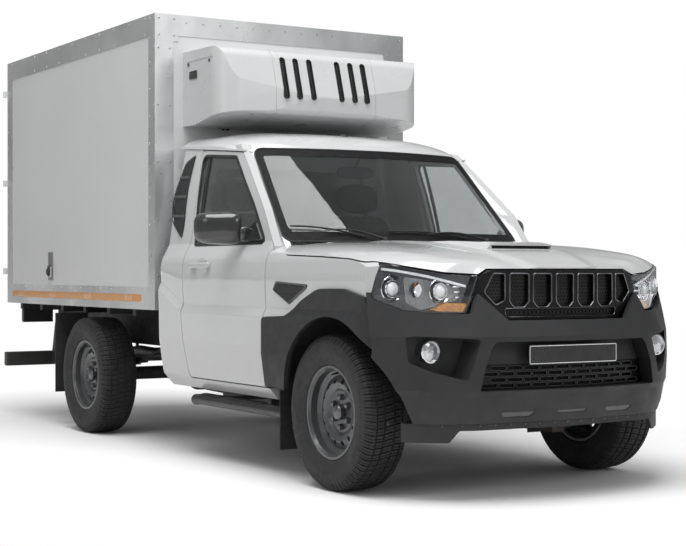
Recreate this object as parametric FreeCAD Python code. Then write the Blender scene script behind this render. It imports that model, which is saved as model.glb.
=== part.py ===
import FreeCAD, Part
import math
import os

os.makedirs("parts", exist_ok=True)

# Refrigerated truck: single cab on a ladder frame, insulated box body, roof-front cooling unit.
# X runs across (plus is the vehicle's left), Y runs back, Z up from the ground; millimetres.

V = FreeCAD.Vector

# Running gear
WHEELBASE = 3040.0
AXLE_F = -1900.0
AXLE_R = AXLE_F + WHEELBASE
TYRE_R = 367.5
TYRE_W = 238.0
HALF_TRACK = 750.0
RIM_R = 220.5
RIM_HALF = 95.0
BEAD_R = 203.0
HUB_HOLES = 14
STUDS = 6
STUD_PCD = 139.7
KINGPIN_X = 625.0
ARM_LOW_Z = 245.0
ARM_TOP_Z = 490.0

# Ladder frame
RAIL_IN_F = 345.0
RAIL_IN_R = 425.0
RAIL_W = 70.0
RAIL_H = 120.0
RAIL_Z_F = 390.0
RAIL_Z_R = 560.0
RAIL_Y0 = -2540.0
RAIL_Y1 = 2560.0
CROSS_Y = (-2440.0, -1360.0, -560.0, 330.0, 1560.0, 2440.0)

# Cab
SHUT_Y = -1313.0
CAB_BACK_Y = -15.0
BELT_Z = 1182.0
SILL_Z = 385.0
DOOR_Z = 449.0
DOOR_T = 48.0
FRAME_T = 34.0
SKIN_T = 14.0
GAP = 6.0
SEAT_GAP = 0.3
SCREEN_Y = -1460.0
SCREEN_RAKE = 1.03
SCREEN_CURVE = 0.00032
SCREEN_T = 5.5
DRIP_Z = 1741.0
DRIP_SLOPE = 0.0865
CORNER_Y = -72.0
ARCH_Y = AXLE_F - 60.0
ARCH_Z = 362.0
ARCH_R = 457.0
FLARE_OUT = 19.0
DOOR_HINGE_X = 886.0
DOOR_HINGE_Y = SHUT_Y + 4.0
BONNET_REAR_Y = -1494.0
BONNET_CORNER_Y = -1456.0
BONNET_HINGE_X = 600.0
BONNET_HINGE_Y = -1499.0
BONNET_HINGE_Z = 1167.0
BONNET_GAP = 6.0
COWL_GAP = 20.0
BUMPER_T = 26.0
PLATE_W = 520.0
PLATE_H = 92.0
FOG_X = 670.0
FOG_Z = 672.0
FOG_R = 48.0
FOG_FLOOR_IN = -2493.0
FOG_FLOOR_OUT = -2392.0

# Box body
BOX_HALF = 857.0
BOX_Y0 = 41.0
BOX_Y1 = 2584.0
BOX_Z0 = 805.0
BOX_Z1 = 2518.0
BOX_WALL = 60.0
BOX_FRONT = 75.0
BOX_FLOOR = 85.0
BOX_ROOF = 75.0
TRIM_T = 3.2
PORTAL_D = 70.0
PORTAL_W = 46.0
LEAF_T = 62.0
LEAF_HINGE_X = 875.0
LEAF_HINGE_Y = BOX_Y1 + 16.0


def at(u, v, plane, level):
    if plane == "x":
        return V(level, u, v)
    if plane == "y":
        return V(u, level, v)
    return V(u, v, level)


def outline(points, plane, level=0.0):
    """Closed wire through (u, v) corners; a third number rounds that corner."""
    count = len(points)
    flat = [V(p[0], p[1], 0) for p in points]
    start, mid, end = [], [], []
    for i in range(count):
        here = flat[i]
        radius = points[i][2] if len(points[i]) > 2 else 0
        if radius <= 0:
            start.append(here)
            mid.append(None)
            end.append(here)
            continue
        back = (flat[i - 1] - here).normalize()
        ahead = (flat[(i + 1) % count] - here).normalize()
        half = back.getAngle(ahead) / 2.0
        run = radius / math.tan(half)
        centre = here + (back + ahead).normalize() * (radius / math.sin(half))
        start.append(here + back * run)
        end.append(here + ahead * run)
        mid.append(centre + (here - centre).normalize() * radius)
    edges = []
    for i in range(count):
        j = (i + 1) % count
        if mid[i] is not None:
            three = [at(p.x, p.y, plane, level) for p in (start[i], mid[i], end[i])]
            edges.append(Part.Arc(three[0], three[1], three[2]).toShape())
        if (end[i] - start[j]).Length > 1e-4:
            a = at(end[i].x, end[i].y, plane, level)
            b = at(start[j].x, start[j].y, plane, level)
            edges.append(Part.makeLine(a, b))
    return Part.Wire(edges)


def prism(points, plane, low, high):
    wire = outline(points, plane, low)
    return Part.Face(wire).extrude(at(0, 0, plane, high - low))


def block(x0, x1, y0, y1, z0, z1):
    return Part.makeBox(x1 - x0, y1 - y0, z1 - z0, V(x0, y0, z0))


def soft_block(x0, x1, y0, y1, z0, z1, radius):
    solid = block(x0, x1, y0, y1, z0, z1)
    return solid.makeFillet(radius, solid.Edges)


def rod(start, finish, radius, bore=0.0):
    line = finish - start
    solid = Part.makeCylinder(radius, line.Length, start, line)
    if bore > 0:
        solid = solid.cut(Part.makeCylinder(bore, line.Length, start, line))
    return solid


def spin(points, axis_point, axis):
    """Solid of revolution of a closed outline given in the plane y = 0 as (x, radius)."""
    wire = outline(points, "y")
    return Part.Face(wire).revolve(axis_point, axis, 360)


def other_side(shape):
    return shape.mirror(V(0, 0, 0), V(1, 0, 0))


def both(shape):
    return [shape, other_side(shape)]


def pipe(points, radius, bend):
    """Round bar along straight runs joined by bends."""
    count = len(points)
    edges = []
    last = points[0]
    for i in range(1, count - 1):
        here = points[i]
        back = (points[i - 1] - here).normalize()
        ahead = (points[i + 1] - here).normalize()
        half = back.getAngle(ahead) / 2.0
        run = bend / math.tan(half)
        centre = here + (back + ahead).normalize() * (bend / math.sin(half))
        first = here + back * run
        second = here + ahead * run
        middle = centre + (here - centre).normalize() * bend
        edges.append(Part.makeLine(last, first))
        edges.append(Part.Arc(first, middle, second).toShape())
        last = second
    edges.append(Part.makeLine(last, points[-1]))
    path = Part.Wire(edges)
    circle = Part.makeCircle(radius, points[0], points[1] - points[0])
    return path.makePipeShell([Part.Wire(circle)], True, False)


def mirrored_outline(right, plane, level=0.0):
    left = [(-p[0],) + tuple(p[1:]) for p in reversed(right) if abs(p[0]) > 1e-6]
    return outline(list(right) + left, plane, level)


def mirrored_prism(right, plane, low, high):
    wire = mirrored_outline(right, plane, low)
    return Part.Face(wire).extrude(at(0, 0, plane, high - low))


def whole(shape):
    return shape.removeSplitter()


def save(name, shapes):
    if not isinstance(shapes, (list, tuple)):
        shapes = [shapes]
    solids = []
    for shape in shapes:
        solids.extend(shape.Solids)
    result = solids[0] if len(solids) == 1 else Part.makeCompound(solids)
    result.exportStep("parts/" + name + ".step")


def spline(points, stations):
    curve = Part.BSplineCurve()
    curve.interpolate(Points=points, Parameters=stations)
    return curve


def under_surface(rows, depth):
    """Solid between a smooth surface through rows of points and the same surface moved down by the depth."""
    sections = [spline(row, [p.x for p in row]) for row in rows]
    nets = [section.getPoles() for section in sections]
    lengthwise = [row[0].y for row in rows]
    columns = [spline([net[i] for net in nets], lengthwise) for i in range(len(nets[0]))]
    surface = Part.BSplineSurface()
    surface.buildFromPolesMultsKnots([column.getPoles() for column in columns], sections[0].getMultiplicities(),
                                     columns[0].getMultiplicities(), sections[0].getKnots(), columns[0].getKnots(),
                                     False, False, 3, 3)
    return surface.toShape().extrude(V(0, 0, -depth))


def mirrored_row(right):
    return [V(-p.x, p.y, p.z) for p in reversed(right[1:])] + right


def dome_height(x, dome, flat):
    """Share of the raised middle: full inside the flat half width, eased to nothing 70 further out."""
    if x <= flat - 15.0:
        return dome
    if x >= flat + 55.0:
        return 0.0
    t = (x - flat + 15.0) / 70.0
    return dome * (1.0 - t * t * (3.0 - 2.0 * t))


def edge_fall(x, drop, edge):
    """Flat shoulder that falls by the drop at the edge and runs on straight outside it."""
    if x <= edge:
        return drop * (x / edge) ** 8
    return drop + (x - edge) * 0.55


def crowned(inset):
    rows = []
    for y, top, drop, edge, flat in BONNET_TOP:
        base = top - DOME_H - inset
        rows.append(mirrored_row([V(x, y, base + dome_height(x, DOME_H, flat) - edge_fall(x, drop, edge)) for x in CROWN_X]))
    return under_surface(rows, 1100.0)


def grown(points, amount):
    """Outline moved outward by the amount, corner by corner."""
    count = len(points)
    area = 0.0
    for i in range(count):
        p, q = points[i], points[(i + 1) % count]
        area += p[0] * q[1] - q[0] * p[1]
    turn = 1.0 if area > 0 else -1.0
    result = []
    for i in range(count):
        here = V(points[i][0], points[i][1], 0)
        prev = V(points[i - 1][0], points[i - 1][1], 0)
        nxt = V(points[(i + 1) % count][0], points[(i + 1) % count][1], 0)
        a = (here - prev).normalize()
        b = (nxt - here).normalize()
        bis = V(a.y, -a.x, 0) * turn + V(b.y, -b.x, 0) * turn
        spot = here + bis * (2.0 * amount / bis.dot(bis))
        radius = points[i][2] if len(points[i]) > 2 else 0
        result.append((spot.x, spot.y, max(radius + amount, 0.5) if radius > 0 else 0))
    return result


# Cab side section: (half width, height, corner radius), sill to roof edge
SIDE_LOW = ((800.0, SILL_Z), (858.0, 452.0, 30.0), (885.0, 648.0, 40.0), (889.0, 803.0, 8.0),
            (869.0, 846.0, 8.0), (876.0, 1000.0, 300.0), (866.0, 1095.0, 120.0))
SIDE_TOP = ((820.0, BELT_Z, 20.0), (784.0, 1425.0, 2500.0), (722.0, 1690.0), (706.0, 1752.0))
# Crowned bonnet: y, centre height, fall at the edge, half width of the edge, half width of the raised middle
BONNET_TOP = ((-2720.0, 985.0, 60.0, 440.0, 150.0), (-2620.0, 1034.0, 50.0, 445.0, 165.0),
              (-2540.0, 1062.0, 46.0, 460.0, 180.0), (-2473.0, 1084.0, 52.0, 600.0, 192.0),
              (-2403.0, 1105.0, 52.0, 712.0, 205.0), (-2266.0, 1134.0, 55.0, 830.0, 230.0),
              (-2100.0, 1155.0, 54.0, 860.0, 255.0), (-1900.0, 1173.0, 56.0, 862.0, 280.0),
              (-1480.0, 1187.0, 60.0, 862.0, 320.0), (-1250.0, 1192.0, 62.0, 862.0, 330.0))
DOME_H = 11.0
CROWN_X = (0.0, 110.0, 180.0, 215.0, 250.0, 290.0, 330.0, 380.0, 450.0, 520.0, 590.0, 660.0, 720.0, 770.0, 815.0, 860.0, 910.0, 1000.0)
# Crowned roof: y, centre height
ROOF_TOP = ((-960.0, 1640.0), (-880.0, 1706.0), (-800.0, 1750.0), (-700.0, 1784.0), (-550.0, 1808.0),
            (-400.0, 1822.0), (-200.0, 1833.0), (30.0, 1838.0))
ROOF_DROP = ((0.0, 0.0), (150.0, 1.0), (300.0, 5.0), (400.0, 9.0), (480.0, 16.0), (600.0, 36.0), (670.0, 62.0), (712.0, 94.0), (760.0, 140.0))
NOSE_PLAN = ((900.0, 100.0), (900.0, -2238.0, 150.0), (560.0, -2526.0, 700.0), (0.0, -2612.0, 2200.0))


def side_points(shift_low, shift_top, crease=0.0, top=4):
    points = []
    for i, p in enumerate(SIDE_LOW):
        lift = crease if i in (3, 4) else 0.0
        points.append((p[0] - shift_low, p[1] + lift) + tuple(p[2:]))
    for p in SIDE_TOP[:top]:
        points.append((p[0] - shift_top, p[1]) + tuple(p[2:]))
    return points


def side_band(out_low, in_low, out_top, in_top, crease=0.0):
    """Closed section of the cab side between two offsets from its outer surface."""
    outer = side_points(out_low, out_top, crease)
    inner = side_points(in_low, in_top, crease)
    return outer + list(reversed(inner))


def band_prism(out_low, in_low, out_top, in_top, y0, y1):
    return prism(side_band(out_low, in_low, out_top, in_top), "y", y0, y1)


CORES = {}


def front_core(inset):
    """Nose, bonnet and fenders as one body, its skin moved in by the inset."""
    if inset not in CORES:
        CORES[inset] = front_body(inset)
    return CORES[inset]


def front_body(inset):
    low = [(p[0] - inset,) + tuple(p[1:]) for p in side_points(0.0, 0.0, 0.0, 1)]
    low[-1] = (low[-1][0], 1230.0)
    low.insert(-1, (820.0 - inset, BELT_Z))
    low[0] = (low[0][0], 250.0 if inset > 0 else SILL_Z)
    profile = mirrored_prism(low, "y", -2720.0, -1200.0)
    plan = [(900.0, -1000.0)] + [(p[0], p[1] + inset) + tuple(p[2:]) for p in NOSE_PLAN[1:]]
    left = [(-p[0],) + tuple(p[1:]) for p in reversed(plan[:-1])]
    body = profile.common(prism(plan + left, "z", 100.0, 1400.0))
    return body.common(crowned(inset))


def screen_side(inset):
    """Everything behind the raked and curved windscreen surface."""
    shift = inset * math.hypot(1.0, SCREEN_RAKE)
    z0 = 1000.0
    y0 = SCREEN_Y + shift + (z0 - BELT_Z) * SCREEN_RAKE
    edge = y0 + SCREEN_CURVE * 900.0 * 900.0
    arc = Part.Arc(V(900, edge, z0), V(0, y0, z0), V(-900, edge, z0)).toShape()
    sides = [Part.makeLine(V(-900, edge, z0), V(-900, 2500, z0)),
             Part.makeLine(V(-900, 2500, z0), V(900, 2500, z0)),
             Part.makeLine(V(900, 2500, z0), V(900, edge, z0))]
    return Part.Face(Part.Wire([arc] + sides)).extrude(V(0, 1000.0 * SCREEN_RAKE, 1000.0))


def roof_core(inset):
    rows = []
    for y, top in ROOF_TOP:
        rows.append(mirrored_row([V(x, y, top - drop - inset) for x, drop in ROOF_DROP]))
    return under_surface(rows, 500.0)


def biggest(shape):
    return max(shape.Solids, key=lambda s: s.Volume)


def drip(y):
    return DRIP_Z + DRIP_SLOPE * y


FRONT_OUT = front_core(0.0)
FRONT_IN = front_core(SKIN_T)
SKIN = FRONT_OUT.cut(FRONT_IN)

DOOR_LINE = ((SHUT_Y, DOOR_Z, 30.0), (SHUT_Y, 1150.0, 90.0), (-1172.0, 1345.0, 900.0), (-800.0, drip(-800.0) - GAP, 30.0),
             (-298.0, drip(-298.0) - GAP, 30.0), (-332.0, 1541.0, 500.0), (-360.0, 1240.0, 400.0),
             (-352.0, 1170.0, 150.0), (-370.0, 788.0, 400.0), (-419.0, DOOR_Z, 40.0))
WINDOW_LINE = ((-1223.0, 1176.0, 12.0), (-1051.0, 1370.0, 900.0), (-735.0, 1645.0, 45.0), (-331.0, 1676.0, 30.0),
               (-416.0, 1176.0, 12.0))
ARCH_CUT = Part.makeCylinder(ARCH_R, 3000, V(-1500, ARCH_Y, ARCH_Z), V(1, 0, 0))
DOOR_CUT = prism(grown(DOOR_LINE, GAP), "x", 400.0, 1000.0)
DOOR_JAMB = prism(grown(DOOR_LINE, GAP + 5.0), "x", 400.0, 700.0)

# Doors, each with its grip and hinge barrels
HANDLE_Y = (-705.0, -475.0)
HANDLE_Z = 1062.0
CUP_R = 67.0
CUP_Y = -590.0
CUP_DEPTH = 15.0
door = band_prism(0.0, DOOR_T, 0.0, FRAME_T, -1400.0, -200.0).common(prism(DOOR_LINE, "x", 500.0, 1000.0))
door = door.cut(prism(WINDOW_LINE, "x", 400.0, 1000.0))
ball = (CUP_R ** 2 + CUP_DEPTH ** 2) / (2.0 * CUP_DEPTH)
door = door.cut(Part.makeSphere(ball, V(870.0 - CUP_DEPTH + ball, CUP_Y, HANDLE_Z)))
grip = soft_block(879.0, 897.0, HANDLE_Y[0], HANDLE_Y[1], HANDLE_Z - 15, HANDLE_Z + 15, 7)
for y in (HANDLE_Y[0] + 8, HANDLE_Y[1] - 44):
    grip = grip.fuse(block(850, 885, y, y + 36, HANDLE_Z - 12, HANDLE_Z + 12))
door = door.fuse(grip)
for z in (690.0, 780.0):
    door = door.fuse(rod(V(DOOR_HINGE_X, DOOR_HINGE_Y, z - 20), V(DOOR_HINGE_X, DOOR_HINGE_Y, z + 20), 3.6))
door = whole(door)
save("door_left", door)
save("door_right", other_side(door))
glass = band_prism(8.0, 13.0, 8.0, 13.0, -1400.0, -200.0).common(prism(grown(WINDOW_LINE, -SEAT_GAP), "x", 500.0, 1000.0))
save("door_glass_left", glass)
save("door_glass_right", other_side(glass))

# Mirrors: swept-back head on an arm at the window's front corner
MIRROR_Y = -948.0
head_plan = ((838.0, MIRROR_Y - 36, 12), (1052.0, MIRROR_Y + 55, 14), (1070.0, MIRROR_Y + 8, 24), (1040.0, MIRROR_Y - 44, 60),
             (940.0, MIRROR_Y - 98, 120), (842.0, MIRROR_Y - 112, 20))
head_front = ((836.0, 1186.0, 26), (1045.0, 1168.0, 40), (1066.0, 1250.0, 60), (1058.0, 1328.0, 36), (960.0, 1340.0, 200),
              (834.0, 1334.0, 40))
head = prism(head_plan, "z", 1150.0, 1360.0).common(prism(head_front, "y", MIRROR_Y - 130, MIRROR_Y + 80))
glass_plane = prism(((842.0, MIRROR_Y - 41), (1052.0, MIRROR_Y + 48), (1030.0, MIRROR_Y + 120), (820.0, MIRROR_Y + 40)), "z",
                    1100, 1400)
head = head.cut(glass_plane.common(prism(grown(head_front, -10.0), "y", MIRROR_Y - 130, MIRROR_Y + 130)))
arm = prism(((770.0, 1190.0, 8), (770.0, 1258.0, 20), (850.0, 1270.0, 12), (850.0, 1200.0, 12)), "y",
            MIRROR_Y - 104, MIRROR_Y - 52)
foot = band_prism(-16.0, -SEAT_GAP, -16.0, -SEAT_GAP, -1250.0, -900.0)
foot = foot.common(prism(((-1216.0, BELT_Z + 2.0, 6), (-1108.0, 1300.0, 20), (-985.0, BELT_Z + 2.0, 10)), "x", 600, 900))
arm = arm.cut(band_prism(-SEAT_GAP, 90.0, -SEAT_GAP, 90.0, -1400.0, -200.0))
mirror = biggest(whole(head.fuse(biggest(arm)).fuse(foot)))
save("mirror_left", mirror)
save("mirror_right", other_side(mirror))

# Rear quarters with the shoulder crease swept up and a rounded rear corner
quarter_sections = []
for y, crease, inset in ((-430.0, 0.0, 0.0), (-325.0, 13.0, 0.0), (-86.0, 118.0, 0.0), (-66.0, 124.0, 2.9),
                         (-46.0, 130.0, 12.1), (-30.0, 136.0, 26.7), (-20.0, 140.0, 43.9), (CAB_BACK_Y, 142.0, 60.0)):
    quarter_sections.append((y, crease, inset))


def quarter_shell(out, deep):
    wires = []
    for y, crease, inset in quarter_sections:
        shape = side_band(out + inset, deep + inset, out + inset, deep + inset, 0.0)
        lifted = []
        for p in shape:
            if 700.0 < p[1] < 860.0:
                lifted.append((p[0], p[1] + crease) + tuple(p[2:]))
            elif 980.0 < p[1] < 1010.0:
                lifted.append((p[0], p[1] + crease * 0.35, 300.0 - 1.5 * crease))
            else:
                lifted.append(p)
        wires.append(outline(lifted, "y", y))
    return Part.makeLoft(wires, True, True)


QUARTER_ZONE = prism(((-440.0, SILL_Z - 5.0), (-440.0, 1500.0), (-300.0, drip(-300.0) - 0.6), (10.0, drip(10.0) - 0.6),
                      (10.0, 960.0, 60.0), (CORNER_Y, 868.0, 60.0), (CORNER_Y, 520.0, 60.0), (CORNER_Y - 18.0, SILL_Z - 5.0)),
                     "x", 400, 1000)
quarter = quarter_shell(0.0, DOOR_T).common(QUARTER_ZONE).cut(DOOR_CUT).cut(DOOR_JAMB)
quarter = biggest(quarter)
sill = band_prism(0.0, DOOR_T, 0.0, FRAME_T, SHUT_Y - GAP, -430.3)
sill = sill.common(block(500, 1000, -1400, -400, SILL_Z - 5, DOOR_Z - GAP - 0.3))
sill = biggest(whole(sill.fuse(block(752, 800, SHUT_Y - GAP, -430.3, SILL_Z, DOOR_Z - GAP - 0.3))))

# Windscreen, its pillars and the roof
SCREEN_LINE = ((748.0, 1180.0, 40.0), (668.0, 1690.0, 55.0))
PILLAR_LEAN = (SCREEN_LINE[0][0] - SCREEN_LINE[1][0]) / (SCREEN_LINE[1][1] - SCREEN_LINE[0][1])
DASH_HALF = 735.0
DASH_Z = 1152.0
left_half = [(-p[0],) + tuple(p[1:]) for p in reversed(SCREEN_LINE)]
screen_outline = list(SCREEN_LINE) + left_half
screen_zone = prism(screen_outline, "y", -1700, -500)
screen = screen_side(4.0).cut(screen_side(4.0 + SCREEN_T)).common(screen_zone)
screen_rebate = prism(grown(screen_outline, SEAT_GAP), "y", -1700, -500).common(
    screen_side(-20.0).cut(screen_side(4.0 + SCREEN_T + SEAT_GAP)))
screen_port = prism(grown(screen_outline, -30.0), "y", -1700, -500)
roof_zone = prism(((-1100.0, drip(-1100.0)), (CAB_BACK_Y, drip(CAB_BACK_Y)), (CAB_BACK_Y, 1900.0), (-1100.0, 1900.0)),
                  "x", -900, 900)
green_core = mirrored_prism(list(SIDE_TOP) + [(672.0, 1900.0)], "y", -1500.0, 0.0)
roof_whole = roof_core(0.0).common(green_core).common(screen_side(0.0)).common(roof_zone)
roof_inner = roof_core(30.0).common(screen_side(34.0)).common(block(-690, 690, -1200, CAB_BACK_Y - 40.0, 1300, 1900))
roof = roof_whole.cut(roof_inner).cut(screen_rebate)
lip_zone = prism(((-810.0, drip(-810.0)), (-2.0, drip(-2.0)), (-2.0, drip(-2.0) + 9.0), (-810.0, drip(-810.0) + 9.0)),
                 "x", 680, 800)
lip = band_prism(-7.0, 14.0, -7.0, 14.0, -900.0, -2.0).common(lip_zone)
roof = whole(biggest(roof.fuse(lip).fuse(other_side(lip))))
save("cab_roof", roof)

# Windscreen pillar: height, half width of the cab side and front edge of the door there
pillar_wires = []
for z, side_x, door_y in ((1112.0, 820.0, -1347.0), (BELT_Z + 0.5, 820.0, -1296.0), (1345.0, 804.0, -1178.0), (1425.0, 784.0, -1085.0),
                          (1712.0, 716.3, -752.0)):
    glass_x = SCREEN_LINE[0][0] - (z - SCREEN_LINE[0][1]) * PILLAR_LEAN
    glass_y = SCREEN_Y + (z - BELT_Z) * SCREEN_RAKE + SCREEN_CURVE * glass_x * glass_x
    pillar_wires.append(outline(((glass_x, glass_y - 1.0), (side_x - 46.0, door_y - 4.0), (side_x, door_y - 4.0),
                                 (side_x, door_y + 60.0), (glass_x + 8.0, glass_y + 60.0), (glass_x - 28.0, glass_y + 45.0),
                                 (glass_x - 28.0, glass_y - 13.0)), "z", z))
pillar = Part.makeLoft(pillar_wires, True, True).common(block(600, 1000, SHUT_Y - GAP + SEAT_GAP, -500, 1100, 1800))
pillar = pillar.cut(screen_rebate).cut(band_prism(-20.0, DOOR_T + GAP, -20.0, FRAME_T + GAP, -1500.0, -300.0).common(DOOR_CUT))
pillar = pillar.cut(roof_whole).cut(lip).cut(block(600, DASH_HALF + SEAT_GAP, -1600, -1000, 1100, DASH_Z + SEAT_GAP))
pillar = biggest(pillar)
save("cab_sides", both(quarter) + both(sill) + both(pillar))

# Cab back wall with its window, clear of the frame rails below the floor
FLOOR_Z = 560.0
FLOOR_T = 32.0
BACK_IN = 108.4
back_line = ((SIDE_LOW[1][0] - BACK_IN, SILL_Z + 45.0), (SIDE_LOW[2][0] - BACK_IN, 648.0), (SIDE_LOW[3][0] - BACK_IN - 4, 803.0),
             (SIDE_LOW[4][0] - BACK_IN - 0.4, 960.0),
             (SIDE_LOW[6][0] - BACK_IN, 1095.0), (SIDE_TOP[0][0] - BACK_IN, BELT_Z),
             (SIDE_TOP[1][0] - BACK_IN - 1, 1425.0), (SIDE_TOP[2][0] - BACK_IN, 1690.0),
             (SIDE_TOP[3][0] - BACK_IN, drip(CAB_BACK_Y - 40.0) - SEAT_GAP))
back = mirrored_prism(back_line, "y", CAB_BACK_Y - 40.0, CAB_BACK_Y - 0.5)
REAR_WINDOW = ((560.0, 1270.0, 60.0), (500.0, 1630.0, 60.0))
rear_window = list(REAR_WINDOW) + [(-p[0],) + tuple(p[1:]) for p in reversed(REAR_WINDOW)]
back = back.cut(prism(rear_window, "y", -300, 100)).cut(block(-520, 520, -300, 100, 400, FLOOR_Z - FLOOR_T))
corner_plate = prism(((748.3, 450.0), (815.0, 450.0), (845.0, 640.0), (845.0, 842.0), (748.3, 842.0)), "y",
                     CORNER_Y + SEAT_GAP, CAB_BACK_Y - 30.0)
back = whole(back.fuse(corner_plate).fuse(other_side(corner_plate)))
save("cab_back", back)
rear_glass = prism(grown(rear_window, -SEAT_GAP), "y", CAB_BACK_Y - 20, CAB_BACK_Y - 15)
save("cab_glass", [biggest(screen), rear_glass])

# Floor and tunnel
FIRE_Y = -1330.0
FIRE_T = 30.0
floor = block(-748, 748, FIRE_Y + FIRE_T + SEAT_GAP, CAB_BACK_Y - 40.3, FLOOR_Z - FLOOR_T, FLOOR_Z)
tunnel = prism(((-190, FLOOR_Z - FLOOR_T), (-150, 690, 40), (150, 690, 40), (190, FLOOR_Z - FLOOR_T)), "y",
               FIRE_Y + FIRE_T + SEAT_GAP, -560)
tunnel_in = prism(((-176, FLOOR_Z - 70), (-132, 668, 30), (132, 668, 30), (176, FLOOR_Z - 70)), "y", FIRE_Y - 10, -590)
floor = floor.fuse(tunnel).cut(tunnel_in)
floor_side = block(740, 751.7, FIRE_Y + FIRE_T + SEAT_GAP, -430, DOOR_Z - 30, FLOOR_Z)
floor = whole(floor.fuse(floor_side).fuse(other_side(floor_side)))
save("cab_floor", floor)

# Bonnet, hinged along its rear edge; the scoop stands on its crown
SEAM = ((-2290.0, 1060.0), (-2262.0, 1068.0, 60.0), (-2100.0, 1090.0, 300.0), (-1832.0, 1102.0, 600.0),
        (-1640.0, 1108.0, 400.0), (-1504.0, 1112.5, 40.0), (-1400.0, 1162.0))
bonnet_side = list(SEAM) + [(-1400.0, 1300.0), (-2750.0, 1300.0), (-2750.0, 990.0), (-2290.0, 990.0)]
FRONT_EDGE = ((1000.0, 1066.0), (826.0, 1076.0, 20.0), (707.0, 1048.0, 200.0), (594.0, 1026.0, 80.0), (456.0, 1018.0, 14.0),
              (406.0, 1042.0, 14.0))
front_line = list(FRONT_EDGE) + [(-p[0],) + tuple(p[1:]) for p in reversed(FRONT_EDGE)]
front_line = [(1000.0, 1300.0)] + front_line + [(-1000.0, 1300.0)]
rear_arc = Part.Arc(V(-1000, BONNET_CORNER_Y + 8, 900), V(0, BONNET_REAR_Y, 900), V(1000, BONNET_CORNER_Y + 8, 900)).toShape()


def ahead_of_rear_edge(gap):
    """Everything in front of the bonnet's curved rear edge moved back by the gap."""
    arc = rear_arc.copy()
    arc.translate(V(0, gap, 0))
    a, b = V(-1000, BONNET_CORNER_Y + 8 + gap, 900), V(1000, BONNET_CORNER_Y + 8 + gap, 900)
    c, d = V(1000, -2800, 900), V(-1000, -2800, 900)
    return Part.Face(Part.Wire([arc, Part.makeLine(b, c), Part.makeLine(c, d), Part.makeLine(d, a)])).extrude(V(0, 0, 500))


bonnet_zone = prism(bonnet_side, "x", -1000, 1000).common(prism(front_line, "y", -2760, -1300)).common(ahead_of_rear_edge(0.0))
opening_zone = prism(grown(bonnet_side, BONNET_GAP), "x", -1000, 1000).common(
    prism(grown(front_line, BONNET_GAP), "y", -2760, -1300)).common(ahead_of_rear_edge(BONNET_GAP))
LAMP_LINE = ((449.0, 1011.0, 8.0), (594.0, 1019.0, 80.0), (707.0, 1041.0, 200.0), (822.0, 1070.0, 14.0), (842.0, 1000.0, 60.0),
             (860.0, 910.0, 20.0), (766.0, 857.0, 60.0), (651.0, 844.0, 60.0), (512.0, 842.0, 12.0), (489.0, 893.0, 40.0))
GRILLE_LINE = ((402.0, 1036.0, 10.0), (447.0, 1013.0, 3.0), (484.0, 897.0, 2.0), (464.0, 930.0), (342.0, 812.0, 16.0))
grille_outline = list(GRILLE_LINE) + [(-p[0],) + tuple(p[1:]) for p in reversed(GRILLE_LINE)]
lamp_prism = prism(LAMP_LINE, "y", -2720, -2180)
lamp_hole = prism(grown(LAMP_LINE, 1.5), "y", -2720, -2179)
grille_hole = prism(grown(grille_outline, 2.0), "y", -2800, -2400)
bonnet = biggest(SKIN.common(bonnet_zone))
SCOOP_Y = -2266.0
scoop_wires = []
for y, half, top in ((SCOOP_Y, 186.0, 1158.0), (SCOOP_Y + 90.0, 200.0, 1170.0), (SCOOP_Y + 260.0, 235.0, 1177.0),
                     (SCOOP_Y + 480.0, 270.0, 1175.0)):
    scoop_wires.append(outline(((half + 30, 1100.0), (half + 30, top - 34.0), (half, top, 12.0), (-half, top, 12.0),
                                (-half - 30, top - 34.0), (-half - 30, 1100.0)), "y", y))
scoop = Part.makeLoft(scoop_wires, True, True).cut(FRONT_IN)
scoop_mouth = prism(((176.0, 1137.0, 5.0), (182.0, 1152.0, 5.0), (-182.0, 1152.0, 5.0), (-176.0, 1137.0, 5.0)), "y",
                    SCOOP_Y - 10, SCOOP_Y + 70)
bonnet = bonnet.fuse(scoop).cut(scoop_mouth)
for s in (-1, 1):
    bonnet = bonnet.fuse(rod(V(s * BONNET_HINGE_X - 20, BONNET_HINGE_Y, BONNET_HINGE_Z),
                             V(s * BONNET_HINGE_X + 20, BONNET_HINGE_Y, BONNET_HINGE_Z), 6.5))
save("bonnet", biggest(bonnet))

# Front fenders
fender = SKIN.common(block(120, 1000, -2730, SHUT_Y - GAP, 455, 1210)).cut(lamp_hole).cut(grille_hole)
fender = fender.cut(block(0, 1200, -2730, -2240, 300, 905))
fender = fender.cut(opening_zone).cut(ARCH_CUT).cut(DOOR_CUT).cut(block(-1, 745, -1600, -1200, 900, 1300))
fender = fender.cut(screen_side(-2.0).common(block(300, 790, -1600, -1200, 1100, 1300)))
save("front_fenders", both(biggest(fender)))
FLARE_LINE = ((SHUT_Y - GAP, 455.0), (SHUT_Y - GAP, 800.0, 24.0), (-1385.0, 806.0, 30.0), (-1560.0, 813.0, 90.0),
              (-1700.0, 890.0, 300.0), (-1860.0, 948.0, 260.0), (-2080.0, 950.0, 300.0), (-2258.0, 914.0),
              (-2318.0, 690.0), (-2300.0, 500.0), (-1700.0, 455.0))
flare = prism(FLARE_LINE, "x", 600, 1000).cut(ARCH_CUT).common(front_core(-FLARE_OUT)).cut(front_core(-SEAT_GAP))
flare = biggest(flare.cut(DOOR_CUT))
save("arch_flares", both(flare))

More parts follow.
